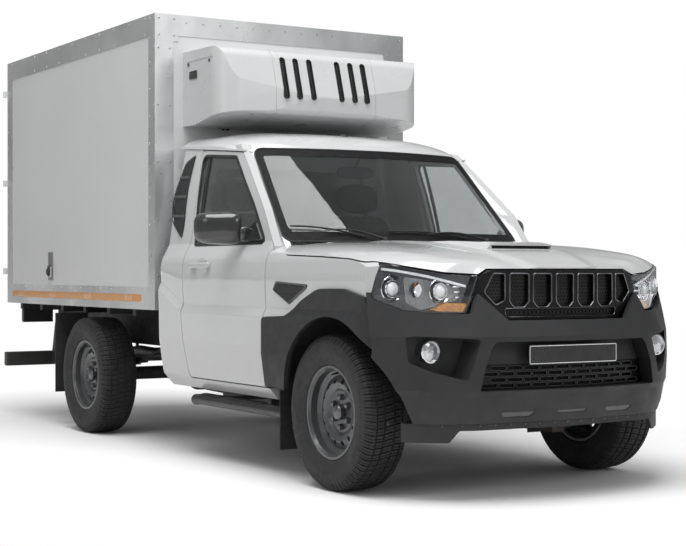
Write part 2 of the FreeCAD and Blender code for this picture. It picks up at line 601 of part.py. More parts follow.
# Firewall, cut for the gearbox, and the cowl strip under the windscreen
firewall = block(-745, 745, FIRE_Y, FIRE_Y + FIRE_T, FLOOR_Z - FLOOR_T, 1080).cut(tunnel_in)
strip = front_core(6.0).cut(front_core(22.0)).common(block(-744.7, 744.7, -1600, -1250, 1100, 1300))
strip = strip.cut(ahead_of_rear_edge(COWL_GAP)).cut(screen_side(-1.0))
save("firewall_cowl", [firewall] + [item for item in strip.Solids if item.Volume > 2000.0])

# Front lamps: one body each behind the clear lens line
lamp = front_core(1.0).cut(front_core(75.0)).common(lamp_prism)
lamp = biggest(lamp)

# Upper grille: seven upright openings, a mesh strip below
grille_body = front_core(2.0).cut(front_core(34.0)).common(prism(grille_outline, "y", -2720, -2400))
slots = []
for x in (-252.0, -128.0, 0.0, 128.0, 252.0):
    slots.append(((x - 50, 1020, 8), (x + 50, 1020, 8), (x + 50, 892, 18), (x + 26, 868, 12), (x - 26, 868, 12), (x - 50, 892, 18)))
slots.append(((326, 1020, 8), (386, 1020, 8), (428, 935, 14), (372, 878, 14), (326, 900, 14)))
slots.append([(-p[0],) + tuple(p[1:]) for p in slots[-1]])
slot_cut = prism(slots[0], "y", -2720, -2400)
for item in slots[1:]:
    slot_cut = slot_cut.fuse(prism(item, "y", -2720, -2400))
grille_front = grille_body.cut(slot_cut.common(front_core(-5.0).cut(front_core(22.0))))
low_mesh = prism(((330.0, 862.0, 8.0), (318.0, 824.0, 8.0), (-318.0, 824.0, 8.0), (-330.0, 862.0, 8.0)), "y", -2720, -2400)
grille_front = biggest(whole(grille_front.cut(low_mesh.common(front_core(-5.0).cut(front_core(16.0))))))


# Front bumper: a shell lofted through plan outlines
def bumper_core(inset):
    """Bumper form moved in by the inset: height, half width, corner, quarter point and nose of each plan."""
    wires = []
    for z, side, edge, mid, front in ((352.0, 862.0, -2296.0, -2568.0, -2622.0), (400.0, 880.0, -2300.0, -2590.0, -2652.0),
                                      (478.0, 893.0, -2302.0, -2612.0, -2690.0), (500.0, 905.0, -2304.0, -2620.0, -2712.0),
                                      (600.0, 908.0, -2302.0, -2622.0, -2716.0), (740.0, 908.0, -2296.0, -2612.0, -2704.0),
                                      (830.0, 905.0, -2276.0, -2572.0, -2660.0), (935.0, 902.0, -2246.0, -2530.0, -2616.0)):
        right = [(side - inset, -2000.0), (side - inset, edge + inset, 130.0), (562.0, mid + inset, 420.0)]
        left = [(-p[0],) + tuple(p[1:]) for p in reversed(right)]
        wires.append(outline(right + [(0.0, front + inset, 1600.0)] + left, "z", z))
    return Part.makeLoft(wires, True, True)


BUMPER_OUT = bumper_core(0.0)
bumper_front = ((905.0 + 20, 340.0), (925.0, 935.0), (862.0, 935.0), (862.0, 909.0, 20.0), (766.0, 855.0, 60.0), (651.0, 842.0, 60.0),
                (508.0, 840.0, 12.0), (486.0, 891.0, 40.0), (465.0, 931.0, 4.0), (344.0, 810.0, 16.0))
bumper = BUMPER_OUT.cut(bumper_core(BUMPER_T)).common(mirrored_prism(bumper_front, "y", -2800, -2000))
bumper_rear = prism(((-2258.0 - 3.0, 940.0), (-2318.0 - 3.0, 690.0), (-2303.0, 480.0), (-2303.0, 300.0), (-2800.0, 300.0),
                     (-2800.0, 940.0)), "x", -1000, 1000)
bumper = bumper.common(bumper_rear).cut(ARCH_CUT).cut(front_core(-SEAT_GAP))
LOWER_OPEN = ((428.0, 717.0, 18.0), (452.0, 690.0, 20.0), (486.0, 605.0, 60.0), (508.0, 500.0, 8.0))
open_outline = list(LOWER_OPEN) + [(-p[0],) + tuple(p[1:]) for p in reversed(LOWER_OPEN)]
bumper = bumper.cut(prism(open_outline, "y", -2800, -2400))
RECESS = 78.0
surround = bumper_core(20.0).cut(bumper_core(RECESS + 18.0)).common(
    prism(grown(open_outline, 14.0), "y", -2800, -2400).cut(prism(open_outline, "y", -2810, -2390)))
bumper = bumper.fuse(surround)
FOG_LINE = ((772.0, 737.0, 12.0), (740.0, 743.0, 20.0), (499.0, 729.0, 12.0), (559.0, 545.0, 12.0), (689.0, 586.0, 60.0),
            (765.0, 627.0, 24.0))


def fog_space(wall, floor):
    """Lamp pocket with its side walls moved out by the first number and its slanted floor moved back by the second."""
    fall = (FOG_FLOOR_OUT - FOG_FLOOR_IN) / 320.0
    ahead = ((400.0, -2800.0), (400.0, FOG_FLOOR_IN - 80.0 * fall + floor), (900.0, FOG_FLOOR_IN + 420.0 * fall + floor),
             (900.0, -2800.0))
    return prism(grown(FOG_LINE, wall), "y", -2800.0, -2300.0).common(prism(ahead, "z", 500.0, 800.0))


fog_cut = fog_space(0.0, 0.0)
fog_shell = fog_space(8.0, 8.0)
for cutter, shell in ((fog_cut, fog_shell), (other_side(fog_cut), other_side(fog_shell))):
    bumper = bumper.fuse(shell.common(BUMPER_OUT)).cut(cutter)
for x in (-295.0, 0.0, 295.0):
    bumper = bumper.cut(prism(((x - 98, 402, 6), (x + 98, 402, 6), (x + 66, 377, 6), (x - 66, 377, 6)), "y", -2800,
                              -2632 + 34 * abs(x) / 295.0))
bumper = whole(biggest(bumper))
panel = bumper_core(RECESS).cut(bumper_core(RECESS + 14.0)).common(mirrored_prism(((425.0, 714.0, 14.0), (470.0, 612.6, 4.0)), "y", -2800, -2400))
mesh_panel = bumper_core(RECESS - 4.0).cut(bumper_core(RECESS + 8.0)).common(mirrored_prism(((482.3, 612.0, 6.0), (503.0, 503.3, 6.0)), "y", -2800, -2400))
bricks = []
for row, z in enumerate((506.0, 532.0, 558.0, 584.0)):
    for i in range(-6, 7):
        x = i * 84.0 + (42.0 if row % 2 else 0.0)
        if abs(x) < 462.0:
            bricks.append(prism(((x - 37, z + 3), (x + 37, z + 3), (x + 37, z + 22), (x - 37, z + 22)), "y", -2800, -2400))
mesh_panel = mesh_panel.cut(bricks)
guard_plan = ((850.0, -2296.0, 60.0), (558.0, -2560.0, 400.0), (0.0, -2612.0, 1600.0), (-558.0, -2560.0, 400.0), (-850.0, -2296.0, 60.0))
guard_in = ((832.0, -2290.0), (550.0, -2538.0, 400.0), (0.0, -2590.0, 1600.0), (-550.0, -2538.0, 400.0), (-832.0, -2290.0))
guard = prism(guard_plan, "z", 260, 351.5).cut(prism(guard_in, "z", 250, 360))
guard = guard.common(prism(((840.0, 351.5), (775.0, 268.0, 16.0), (600.0, 268.0, 10.0), (560.0, 322.0, 14.0), (-560.0, 322.0, 14.0),
                            (-600.0, 268.0, 10.0), (-775.0, 268.0, 16.0), (-840.0, 351.5)), "y", -2700, -2320))
save("front_bumper", [bumper, biggest(guard.common(block(-900, 900, -2700, -2330, 200, 351.5))), biggest(panel)])
plate_y = -2716.0 + RECESS - 9.0
plate = block(-PLATE_W / 2, PLATE_W / 2, plate_y, plate_y + 5, 655.0 - PLATE_H / 2, 655.0 + PLATE_H / 2)
backing = block(-PLATE_W / 2 + 40, PLATE_W / 2 - 40, plate_y + 4, -2600, 640, 670).cut(bumper_core(RECESS - SEAT_GAP))
save("grille", [grille_front, biggest(mesh_panel), biggest(whole(plate.fuse(backing)))])
fog = rod(V(FOG_X, -2468.0, FOG_Z), V(FOG_X, -2380.0, FOG_Z), FOG_R).common(fog_space(0.0, -SEAT_GAP))
save("front_lamps", both(lamp) + both(fog))

# Side vents: fender louvre and leaf-shaped quarter louvre
vent = front_core(-4.0).cut(front_core(-SEAT_GAP)).common(
    prism(((-1398.0, 937.0, 8), (-1433.0, 980.0, 8), (-1742.0, 966.0, 6), (-1724.0, 946.0, 6), (-1555.0, 869.0, 10)), "x", 500, 1000))
leaf_line = ((-226.0, 1692.0, 8.0), (-120.0, 1652.0, 60.0), (-42.0, 1440.0, 220.0), (-84.0, 1310.0, 120.0), (-232.0, 1212.0, 12.0),
             (-243.0, 1290.0, 200.0), (-216.0, 1512.0, 500.0))
leaf = quarter_shell(-4.0, -SEAT_GAP).common(prism(leaf_line, "x", 500, 1000))
save("side_vents", both(biggest(vent)) + both(biggest(leaf)))

# Arch liners with the front flaps behind the wheels
LINER_LINE = ((-2436.0, 442.0), (-2436.0, 640.0, 250.0), (-2180.0, 838.0, 200.0), (-1730.0, 838.0, 250.0), (-1446.0, 640.0, 250.0),
              (-1446.0, 442.0))
liner_arch = prism(LINER_LINE, "x", 436, 1000).cut(
    prism(((-2430.0, 400.0),) + tuple(grown(LINER_LINE, -6.0)[1:5]) + ((-1452.0, 400.0),), "x", 400, 1100))
liner = liner_arch.common(front_core(SKIN_T + SEAT_GAP)).cut(block(400, 1000, -1500, -1300, 300, 442))
liner = liner.cut(fog_space(9.0, 9.0))
flap_plate = block(700, 840, -1448, -1404, 442, 448)
front_flap = block(718, 840, -1410, -1404, 143, 446)
liner = biggest(whole(biggest(liner).fuse(flap_plate).fuse(front_flap)))

# Ladder frame
rail_plan = ((RAIL_IN_F, RAIL_Y0), (RAIL_IN_F, -350.0, 200.0), (RAIL_IN_R, 150.0, 200.0), (RAIL_IN_R, RAIL_Y1),
             (RAIL_IN_R + RAIL_W, RAIL_Y1), (RAIL_IN_R + RAIL_W, 150.0, 200.0), (RAIL_IN_F + RAIL_W, -350.0, 200.0),
             (RAIL_IN_F + RAIL_W, RAIL_Y0))
rail_side = ((RAIL_Y0, RAIL_Z_F), (100.0, RAIL_Z_F, 200.0), (500.0, RAIL_Z_R, 200.0), (RAIL_Y1, RAIL_Z_R),
             (RAIL_Y1, RAIL_Z_R + RAIL_H), (500.0, RAIL_Z_R + RAIL_H, 200.0), (100.0, RAIL_Z_F + RAIL_H, 200.0),
             (RAIL_Y0, RAIL_Z_F + RAIL_H))
rail = prism(rail_plan, "z", 300, 900).common(prism(rail_side, "x", 0, 900))
cross = []
for y, low, high in ((-2440.0, 405.0, 495.0), (-1360.0, 336.0, 408.0), (-560.0, 336.0, 414.0), (330.0, 500.0, 590.0),
                     (1560.0, 575.0, 665.0), (2440.0, 575.0, 665.0)):
    wide = RAIL_IN_F if y < -350 else RAIL_IN_R
    if y == 330.0:
        wide = RAIL_IN_R - SEAT_GAP
    cross.append(block(-wide + SEAT_GAP, wide - SEAT_GAP, y - 35, y + 35, low, high))
TOW_X = 60.0
TOW_Z = 25.0
for x in (-TOW_X, TOW_X):
    for z in (620.0 - TOW_Z, 620.0 + TOW_Z):
        cross[-1] = cross[-1].cut(rod(V(x, 2400, z), V(x, 2480, z), 6.5))

# Front suspension arms with their frame brackets and dampers
ARM_PIVOT_X = RAIL_IN_F + RAIL_W
arms = []
for z, half in ((ARM_LOW_Z, 150.0), (ARM_TOP_Z, 95.0)):
    arm_plan = ((ARM_PIVOT_X + 1.0, AXLE_F - half - 22), (KINGPIN_X - 10, AXLE_F - 24, 20), (KINGPIN_X - 10, AXLE_F + 24, 20),
                (ARM_PIVOT_X + 1.0, AXLE_F + half + 22), (ARM_PIVOT_X + 1.0, AXLE_F + half - 22),
                (KINGPIN_X - 75, AXLE_F, 14), (ARM_PIVOT_X + 1.0, AXLE_F - half + 22))
    piece = prism(arm_plan, "z", z - 12, z + 12)
    piece = piece.cut(Part.makeCylinder(24, 60, V(KINGPIN_X, AXLE_F, z - 30)))
    eye = Part.makeCylinder(28, 26, V(KINGPIN_X, AXLE_F, z - 13))
    eye = eye.cut(Part.makeCylinder(18.3, 40, V(KINGPIN_X, AXLE_F, z - 20)))
    arms.append(piece.fuse(eye.common(block(KINGPIN_X - 60, KINGPIN_X + 60, -2200, -1600, 0, 900))))
bracket = block(RAIL_IN_F, ARM_PIVOT_X - 6, AXLE_F - 175, AXLE_F + 175, ARM_LOW_Z - 20, RAIL_Z_F - 0.3)
bracket = bracket.fuse(block(ARM_PIVOT_X - 8, ARM_PIVOT_X + 10, AXLE_F - 172, AXLE_F - 128, ARM_LOW_Z - 20, ARM_LOW_Z + 30))
bracket = bracket.fuse(block(ARM_PIVOT_X - 8, ARM_PIVOT_X + 10, AXLE_F + 128, AXLE_F + 172, ARM_LOW_Z - 20, ARM_LOW_Z + 30))
upper_mount = block(ARM_PIVOT_X + 0.3, ARM_PIVOT_X + 14, AXLE_F - 120, AXLE_F + 120, ARM_TOP_Z - 30, ARM_TOP_Z + 18)
low_set = bracket.fuse(arms[0])
top_set = upper_mount.fuse(arms[1])
save("front_arms", both(whole(low_set)) + both(whole(top_set)))

# Steering knuckle: upright, stub axle, brake disc
HUB_FACE_X = HALF_TRACK + 24.0
upright = prism(((KINGPIN_X - 26, ARM_LOW_Z + 18), (KINGPIN_X + 26, ARM_LOW_Z + 18), (KINGPIN_X + 40, 330, 20),
                 (KINGPIN_X + 40, 405, 20), (KINGPIN_X + 26, ARM_TOP_Z - 18), (KINGPIN_X - 26, ARM_TOP_Z - 18)),
                "y", AXLE_F - 26, AXLE_F + 26)
upright = upright.fuse(Part.makeCylinder(16, ARM_TOP_Z - ARM_LOW_Z + 30, V(KINGPIN_X, AXLE_F, ARM_LOW_Z - 15)))
upright = upright.fuse(rod(V(KINGPIN_X, AXLE_F, TYRE_R), V(HUB_FACE_X - 25, AXLE_F, TYRE_R), 24))
upright = upright.fuse(rod(V(KINGPIN_X + 34, AXLE_F, TYRE_R), V(KINGPIN_X + 48, AXLE_F, TYRE_R), 128))
save("knuckle_left", whole(upright))
save("knuckle_right", other_side(whole(upright)))

# Wheels. Across the wheel, plus is outward.
TYRE_HALF = TYRE_W / 2.0
tyre_half = ((84.6, 208.8), (87.5, 220.9), (100, 227, 10), (TYRE_HALF, 292, 60), (114, 336, 30), (98, 361, 14), (60, TYRE_R))
tyre_form = list(tyre_half) + [(-p[0],) + tuple(p[1:]) for p in reversed(tyre_half)]
RIM_FORM = ((-RIM_HALF, RIM_R - 12), (-RIM_HALF, RIM_R), (-RIM_HALF + 7, RIM_R), (-RIM_HALF + 10, BEAD_R + 5.5),
            (-50, BEAD_R + 5.5), (-36, 184), (24, 184), (44, BEAD_R + 5.5), (RIM_HALF - 10, BEAD_R + 5.5),
            (RIM_HALF - 7, RIM_R), (RIM_HALF, RIM_R), (RIM_HALF, RIM_R - 12), (RIM_HALF - 12, BEAD_R - 4, 4),
            (50, BEAD_R - 6), (34, 172), (-40, 176), (-54, BEAD_R - 4), (-RIM_HALF + 12, BEAD_R - 4))
DISC_FORM = ((6, 176), (14, 179), (38, 170), (52, 140, 12), (44, 112, 12), (30, 98, 8), (30, 36), (22, 36), (22, 100, 8),
             (36, 116, 12), (42, 138, 12), (30, 160, 8), (6, 168))
rim_solid = spin(RIM_FORM, V(0, 0, 0), V(1, 0, 0))
disc = spin(DISC_FORM, V(0, 0, 0), V(1, 0, 0))
for i in range(HUB_HOLES):
    a = 2 * math.pi * i / HUB_HOLES
    disc = disc.cut(rod(V(-10, 148 * math.cos(a), 148 * math.sin(a)), V(90, 148 * math.cos(a), 148 * math.sin(a)), 12.5))
hub = spin(((24, 0), (24, 62), (21, 62), (21, 66), (-12, 66), (-12, 24.6), (0, 24.6), (0, 0)), V(0, 0, 0), V(1, 0, 0))
cap = spin(((20, 0), (20, 34), (62, 34, 6), (66, 0)), V(0, 0, 0), V(1, 0, 0))
for i in range(STUDS):
    a = 2 * math.pi * (i + 0.5) / STUDS
    y, z = STUD_PCD / 2 * math.cos(a), STUD_PCD / 2 * math.sin(a)
    cap = cap.fuse(rod(V(26, y, z), V(48, y, z), 10.5))
wheel_metal = whole(rim_solid.fuse(disc).fuse(hub).fuse(cap))
tyre_solid = spin(tyre_form, V(0, 0, 0), V(1, 0, 0))
for name, x, y in (("front_left", 1, AXLE_F), ("front_right", -1, AXLE_F), ("rear_left", 1, AXLE_R),
                   ("rear_right", -1, AXLE_R)):
    for label, solid in (("tyre", tyre_solid), ("rim", wheel_metal)):
        piece = solid.copy()
        if x < 0:
            piece = other_side(piece)
        piece.translate(V(x * HALF_TRACK, y, TYRE_R))
        save(label + "_" + name, piece)

# Rear axle, springs, dampers
axle = rod(V(-640, AXLE_R, TYRE_R), V(640, AXLE_R, TYRE_R), 42)
housing = spin(((-150, 0), (-150, 44), (-70, 128, 60), (70, 128, 60), (150, 44), (150, 0)), V(0, 0, 0), V(1, 0, 0))
housing.translate(V(0, AXLE_R, TYRE_R))
axle = axle.fuse(housing)
for s in (-1, 1):
    axle = axle.fuse(rod(V(s * 612, AXLE_R, TYRE_R), V(s * 640, AXLE_R, TYRE_R), 132))
    axle = axle.fuse(rod(V(s * 630, AXLE_R, TYRE_R), V(s * (HALF_TRACK - 1), AXLE_R, TYRE_R), 24))
save("rear_axle", whole(axle))
SPRING_X = 560.0
springs = []
for i in range(5):
    half = 600 - i * 110
    z = TYRE_R + 66 - 0 + 9 * (4 - i)
    rise = 0.00024
    top = [V(SPRING_X - 32, AXLE_R - half, z + rise * half * half), V(SPRING_X - 32, AXLE_R, z),
           V(SPRING_X - 32, AXLE_R + half, z + rise * half * half)]
    upper = Part.Arc(top[0], top[1], top[2]).toShape()
    lower = upper.copy()
    lower.translate(V(0, 0, -8.5))
    first = Part.makeLine(top[0], top[0] + V(0, 0, -8.5))
    final = Part.makeLine(top[2], top[2] + V(0, 0, -8.5))
    leaf = Part.Face(Part.Wire(Part.__sortEdges__([upper, first, lower, final]))).extrude(V(64, 0, 0))
    springs.append(leaf)
clamp = block(SPRING_X - 45, SPRING_X + 45, AXLE_R - 60, AXLE_R + 60, TYRE_R + 42.3, TYRE_R + 62)
spring = springs[0]
for leaf in springs[1:]:
    spring = spring.fuse(leaf)
clamp_box = block(SPRING_X - 40, SPRING_X + 40, AXLE_R - 50, AXLE_R + 50, TYRE_R + 42.3, TYRE_R + 104)
spring = whole(spring.fuse(clamp_box))
save("leaf_springs", both(spring))
hang = []
for y in (AXLE_R - 600, AXLE_R + 600):
    h = block(RAIL_IN_R + RAIL_W + 0.3, SPRING_X - 33, y - 40, y + 40, 500, 660)
    h = h.fuse(rod(V(SPRING_X - 40, y + 8, 545), V(SPRING_X + 34, y + 8, 545), 14)).cut(spring)
    hang.append(max(h.Solids, key=lambda s: s.Volume))
rail_full = whole(rail.fuse(hang[0]).fuse(hang[1]))
save("chassis_frame", both(rail_full) + cross)

# Engine, gearbox and shaft, exhaust
save("engine_block", soft_block(-250, 250, -2180, -1560, 430, 980, 30))
gear = rod(V(0, -1556, 520), V(0, -1000, 500), 92)
shaft = rod(V(0, -1001, 500), V(0, AXLE_R - 140, TYRE_R + 12), 38)
tail = pipe([V(-300, -1380, 300), V(-300, -500, 300), V(-300, 500, 320), V(-300, 800, 480), V(-300, 1500, 500), V(-300, 1800, 470),
             V(-300, 2450, 470)], 28, 80)
tail = tail.fuse(rod(V(-300, -480, 300), V(-300, 120, 305), 80))
for y, low, high in ((-1360.0, 300.0, 335.7), (1560.0, 490.0, 574.7)):
    tail = tail.fuse(block(-308, -292, y - 10, y + 10, low, high))
save("driveline", [whole(gear.fuse(shaft)), whole(tail)])

# Box body
WALL_Y0 = BOX_Y0 + BOX_FRONT + SEAT_GAP
WALL_Y1 = BOX_Y1 - PORTAL_D - SEAT_GAP
FLOOR_TOP = BOX_Z0 + BOX_FLOOR
ROOF_LOW = BOX_Z1 - BOX_ROOF
save("box_floor", block(-BOX_HALF + BOX_WALL + SEAT_GAP, BOX_HALF - BOX_WALL - SEAT_GAP, WALL_Y0, WALL_Y1, BOX_Z0, FLOOR_TOP))
side = block(BOX_HALF - BOX_WALL, BOX_HALF, WALL_Y0, WALL_Y1, BOX_Z0, ROOF_LOW - SEAT_GAP)
front_wall = block(-BOX_HALF, BOX_HALF, BOX_Y0, BOX_Y0 + BOX_FRONT, BOX_Z0, ROOF_LOW - SEAT_GAP)
save("box_walls", both(side) + [front_wall])
save("box_roof", block(-BOX_HALF, BOX_HALF, BOX_Y0, BOX_Y1, ROOF_LOW, BOX_Z1))
PORTAL_Y0 = BOX_Y1 - PORTAL_D
portal = [block(BOX_HALF - PORTAL_W, BOX_HALF, PORTAL_Y0, BOX_Y1, BOX_Z0, ROOF_LOW - SEAT_GAP)]
portal.append(other_side(portal[0]))
portal.append(block(-BOX_HALF + PORTAL_W + SEAT_GAP, BOX_HALF - PORTAL_W - SEAT_GAP, PORTAL_Y0, BOX_Y1, BOX_Z0, FLOOR_TOP))
save("rear_portal", portal)

# Rear doors
leaf = block(3, BOX_HALF - PORTAL_W - 6, PORTAL_Y0 + 8, BOX_Y1, FLOOR_TOP + 6, ROOF_LOW - 7)
lock = rod(V(270, BOX_Y1 + 14, FLOOR_TOP + 10), V(270, BOX_Y1 + 14, ROOF_LOW - 12), 9)
for z in (1000, 1500, 2000, 2400):
    lock = lock.fuse(block(250, 290, BOX_Y1, BOX_Y1 + 20, z - 18, z + 18))
for z in (1030, 1660, 2300):
    lock = lock.fuse(block(700, LEAF_HINGE_X, BOX_Y1, BOX_Y1 + 5, z - 22, z + 22))
    lock = lock.fuse(rod(V(LEAF_HINGE_X, LEAF_HINGE_Y, z - 22), V(LEAF_HINGE_X, LEAF_HINGE_Y, z + 22), 12))
rear_leaf = whole(leaf.fuse(lock))
save("rear_door_left", rear_leaf)
save("rear_door_right", other_side(rear_leaf))

# Box trim: riveted sheet rails, posts and corner plates, and the mains inlet on the right side
T0, T1 = BOX_HALF + SEAT_GAP, BOX_HALF + SEAT_GAP + TRIM_T
F0, F1 = BOX_Y0 - SEAT_GAP - TRIM_T, BOX_Y0 - SEAT_GAP
RAIL_Z = 2395.0
CORNER_Z = 2367.0
SKIRT_Z = 938.0
POST_W = 87.0
trim = []
side_rail = block(T0, T1, BOX_Y0 + POST_W + SEAT_GAP, BOX_Y1, RAIL_Z, BOX_Z1)
side_rail = side_rail.fuse(block(BOX_HALF - 40, T1, BOX_Y0 + POST_W + SEAT_GAP, BOX_Y1, BOX_Z1 + SEAT_GAP, BOX_Z1 + SEAT_GAP + TRIM_T))
corner = block(T0, T1, F0, BOX_Y0 + POST_W, CORNER_Z, BOX_Z1 + SEAT_GAP + TRIM_T).fuse(
    block(714, T1, F0, F1, CORNER_Z, BOX_Z1 + SEAT_GAP + TRIM_T)).fuse(
    block(714, T1, F0, BOX_Y0 + POST_W, BOX_Z1 + SEAT_GAP, BOX_Z1 + SEAT_GAP + TRIM_T))
front_post = block(T0, T1, F0, BOX_Y0 + POST_W, SKIRT_Z + SEAT_GAP, CORNER_Z - SEAT_GAP).fuse(
    block(743, T1, F0, F1, SKIRT_Z + SEAT_GAP, CORNER_Z - SEAT_GAP))
bottom_rail = block(T0, T1, F0, BOX_Y1, BOX_Z0, SKIRT_Z).fuse(block(743, T1, F0, F1, BOX_Z0, SKIRT_Z))
rear_post = block(T0, T1, BOX_Y1 - 104, BOX_Y1, SKIRT_Z + SEAT_GAP, RAIL_Z - SEAT_GAP)
for piece in (side_rail, corner, front_post, bottom_rail, rear_post):
    trim.extend(both(whole(piece)))
header_rail = block(-713.7, 713.7, F0, F1, 2400, BOX_Z1).fuse(
    block(-713.7, 713.7, F0, BOX_Y0 + 40, BOX_Z1 + SEAT_GAP, BOX_Z1 + SEAT_GAP + TRIM_T)).fuse(
    block(-713.7, 713.7, F0, F1, 2500, BOX_Z1 + SEAT_GAP + TRIM_T))
trim.append(whole(header_rail))
inlet = block(-BOX_HALF - 3.5, -BOX_HALF - SEAT_GAP, 1672, 1760, 968, 1160).fuse(
    soft_block(-BOX_HALF - 17, -BOX_HALF - 2, 1690, 1742, 990, 1062, 6))
trim.append(whole(inlet))
save("box_trim", trim)

# Cooling unit on the front wall: housing with louvre slots and side panels, evaporator inside
UNIT_BACK = BOX_Y0 - SEAT_GAP
UNIT_HALF = 678.0
UNIT_FRONT = -478.0
SLOT_W = 38.0
unit_side = ((UNIT_BACK, 1872.0), (UNIT_BACK, 2304.0), (-392.0, 2296.0, 75.0), (-474.0, 2030.0, 40.0), (-458.0, 1930.0, 36.0),
             (-300.0, 1900.0, 80.0), (-120.0, 1872.0, 80.0))


def unit_form(inset):
    plan = [(UNIT_HALF - inset, 60.0), (UNIT_HALF + 4 - inset, -442.0 + inset, 140.0), (0.0, UNIT_FRONT + inset, 2600.0)]
    plan = plan + [(-p[0],) + tuple(p[1:]) for p in reversed(plan[:-1])]
    return prism(grown(unit_side, -inset), "x", -700, 700).common(prism(plan, "z", 1800, 2400))


unit = unit_form(0.0)
unit_core = unit_form(26.0)
for s in (-1, 1):
    for x in (94.0, 185.0, 270.0):
        slot = prism(((s * x - SLOT_W / 2, 2012, 18.5), (s * x - SLOT_W / 2, 2255, 18.5), (s * x + SLOT_W / 2, 2255, 18.5),
                      (s * x + SLOT_W / 2, 2012, 18.5)), "y", -600, -300)
        unit = unit.cut(slot.cut(unit_core))
    seam = block(s * 335 - 2, s * 335 + 2, -600, 30, 1800, 2400)
    unit = unit.cut(seam.cut(unit_form(3.0)))
    hatch = prism(((-10.0, 2243.0, 6.0), (-345.0, 2240.0, 6.0), (-307.0, 2086.0, 6.0), (9.0, 2090.0, 6.0)), "x", s * 672, s * 700)
    unit = unit.cut(hatch.cut(unit_form(3.0)))
evaporator = soft_block(-450, 450, BOX_Y0 + BOX_FRONT + SEAT_GAP, BOX_Y0 + BOX_FRONT + 420, ROOF_LOW - 200, ROOF_LOW - 12, 20).fuse(
    block(-300, 300, BOX_Y0 + BOX_FRONT + 60, BOX_Y0 + BOX_FRONT + 360, ROOF_LOW - 40, ROOF_LOW - SEAT_GAP))
save("cooling_unit", [biggest(whole(unit)), whole(evaporator)])

# Sub-frame of the box
runners = [block(RAIL_IN_R + 2, RAIL_IN_R + RAIL_W - 2, 60, 2540, RAIL_Z_R + RAIL_H + SEAT_GAP, 760)]
runners.append(other_side(runners[0]))
for i in range(7):
    y = 90 + i * 400
    runners.append(block(-780, 780, y, y + 45, 760.3, BOX_Z0 - SEAT_GAP))
save("box_subframe", runners)

# Underrun bar on two gussets bolted outside the rails
bar = soft_block(-850, 850, 2630.5, 2690.5, 345, 445, 10)
gussets = []
for s in (-1, 1):
    x0 = s * (RAIL_IN_R + RAIL_W + SEAT_GAP)
    gussets.append(prism(((2480.0, 640.0), (2480.0, 700.0), (2560.0, 700.0, 40.0), (2630.2, 450.0), (2630.2, 350.0), (2600.0, 350.0, 20.0)),
                         "x", x0, x0 + s * 10.0))
save("underrun_bar", [bar] + gussets)

# Rear flaps under a hanger tube
flaps = []
for s in (-1, 1):
    flap = block(s * 740 - 115, s * 740 + 115, 1640, 1646, 225, 752)
    flaps.append(whole(flap.fuse(rod(V(s * (RAIL_IN_R + RAIL_W + SEAT_GAP), 1651, 650), V(s * 850, 1651, 650), 11))))
save("splash_guards", both(liner) + flaps)

# Side steps
step = pipe([V(800, -1400, 320), V(800, -1310, 325), V(800, -460, 325), V(800, -380, 318)], 30, 60)
for y in (-1150, -600):
    step = step.fuse(block(RAIL_IN_F + RAIL_W + 0.3, 800, y - 20, y + 20, 325, 345).fuse(
        block(RAIL_IN_F + RAIL_W + 0.3, RAIL_IN_F + RAIL_W + 8, y - 20, y + 20, 325, 440)))
save("side_steps", both(whole(step)))

# Fuel tank and rear lamps
tank = soft_block(510, 740, 0, 480, 372, 640, 30).fuse(block(RAIL_IN_R + RAIL_W + SEAT_GAP, 520, 300, 440, 570, 600))
save("fuel_tank", whole(tank))
lamps = []
for s in (-1, 1):
    lamps.append(soft_block(s * 640 - 110, s * 640 + 110, 2552, 2600, 662, 790, 8).fuse(
        block(s * 640 - 110, s * 640 + 110, 2548, 2553, 662, BOX_Z0 - SEAT_GAP)))
save("rear_lamps", lamps)

# Seats: cushion, backrest and headrest, each its own solid
SEAT_X = 390.0
BACKREST_LINE = ((-325.0, 790.0, 30.0), (-230.0, 1440.0, 50.0), (-100.0, 1440.0, 50.0), (-180.0, 690.0, 30.0),
                 (-262.0, 690.0, 20.0))
seats = []
for s in (-1, 1):
    cushion = prism(((-800.0, FLOOR_Z + 60.0, 20.0), (-820.0, 800.0, 50.0), (-330.0, 770.0, 40.0), (-250.0, FLOOR_Z + 60.0, 20.0)), "x",
                    s * SEAT_X - 220, s * SEAT_X + 220)
    base = block(s * SEAT_X - 180, s * SEAT_X + 180, -720, -320, FLOOR_Z + SEAT_GAP, FLOOR_Z + 70)
    brace = block(s * SEAT_X - 120, s * SEAT_X + 120, -345, -150, 700, 740)
    brace = brace.cut(prism(grown(BACKREST_LINE, SEAT_GAP), "x", s * SEAT_X - 240, s * SEAT_X + 240))
    brace = min(brace.Solids, key=lambda solid: solid.BoundBox.YMin)
    seats.append(whole(cushion.fuse(base).fuse(brace)))
    seats.append(prism(BACKREST_LINE, "x", s * SEAT_X - 240, s * SEAT_X + 240))
    rest = prism(((-215.0, 1462.0, 30.0), (-185.0, 1600.0, 40.0), (-85.0, 1600.0, 40.0), (-95.0, 1462.0, 30.0)), "x",
                 s * SEAT_X - 140, s * SEAT_X + 140)
    for x in (s * SEAT_X - 60, s * SEAT_X + 60):
        rest = rest.fuse(rod(V(x, -155, 1440.3), V(x, -150, 1480), 6))
    seats.append(rest)
save("seats", seats)

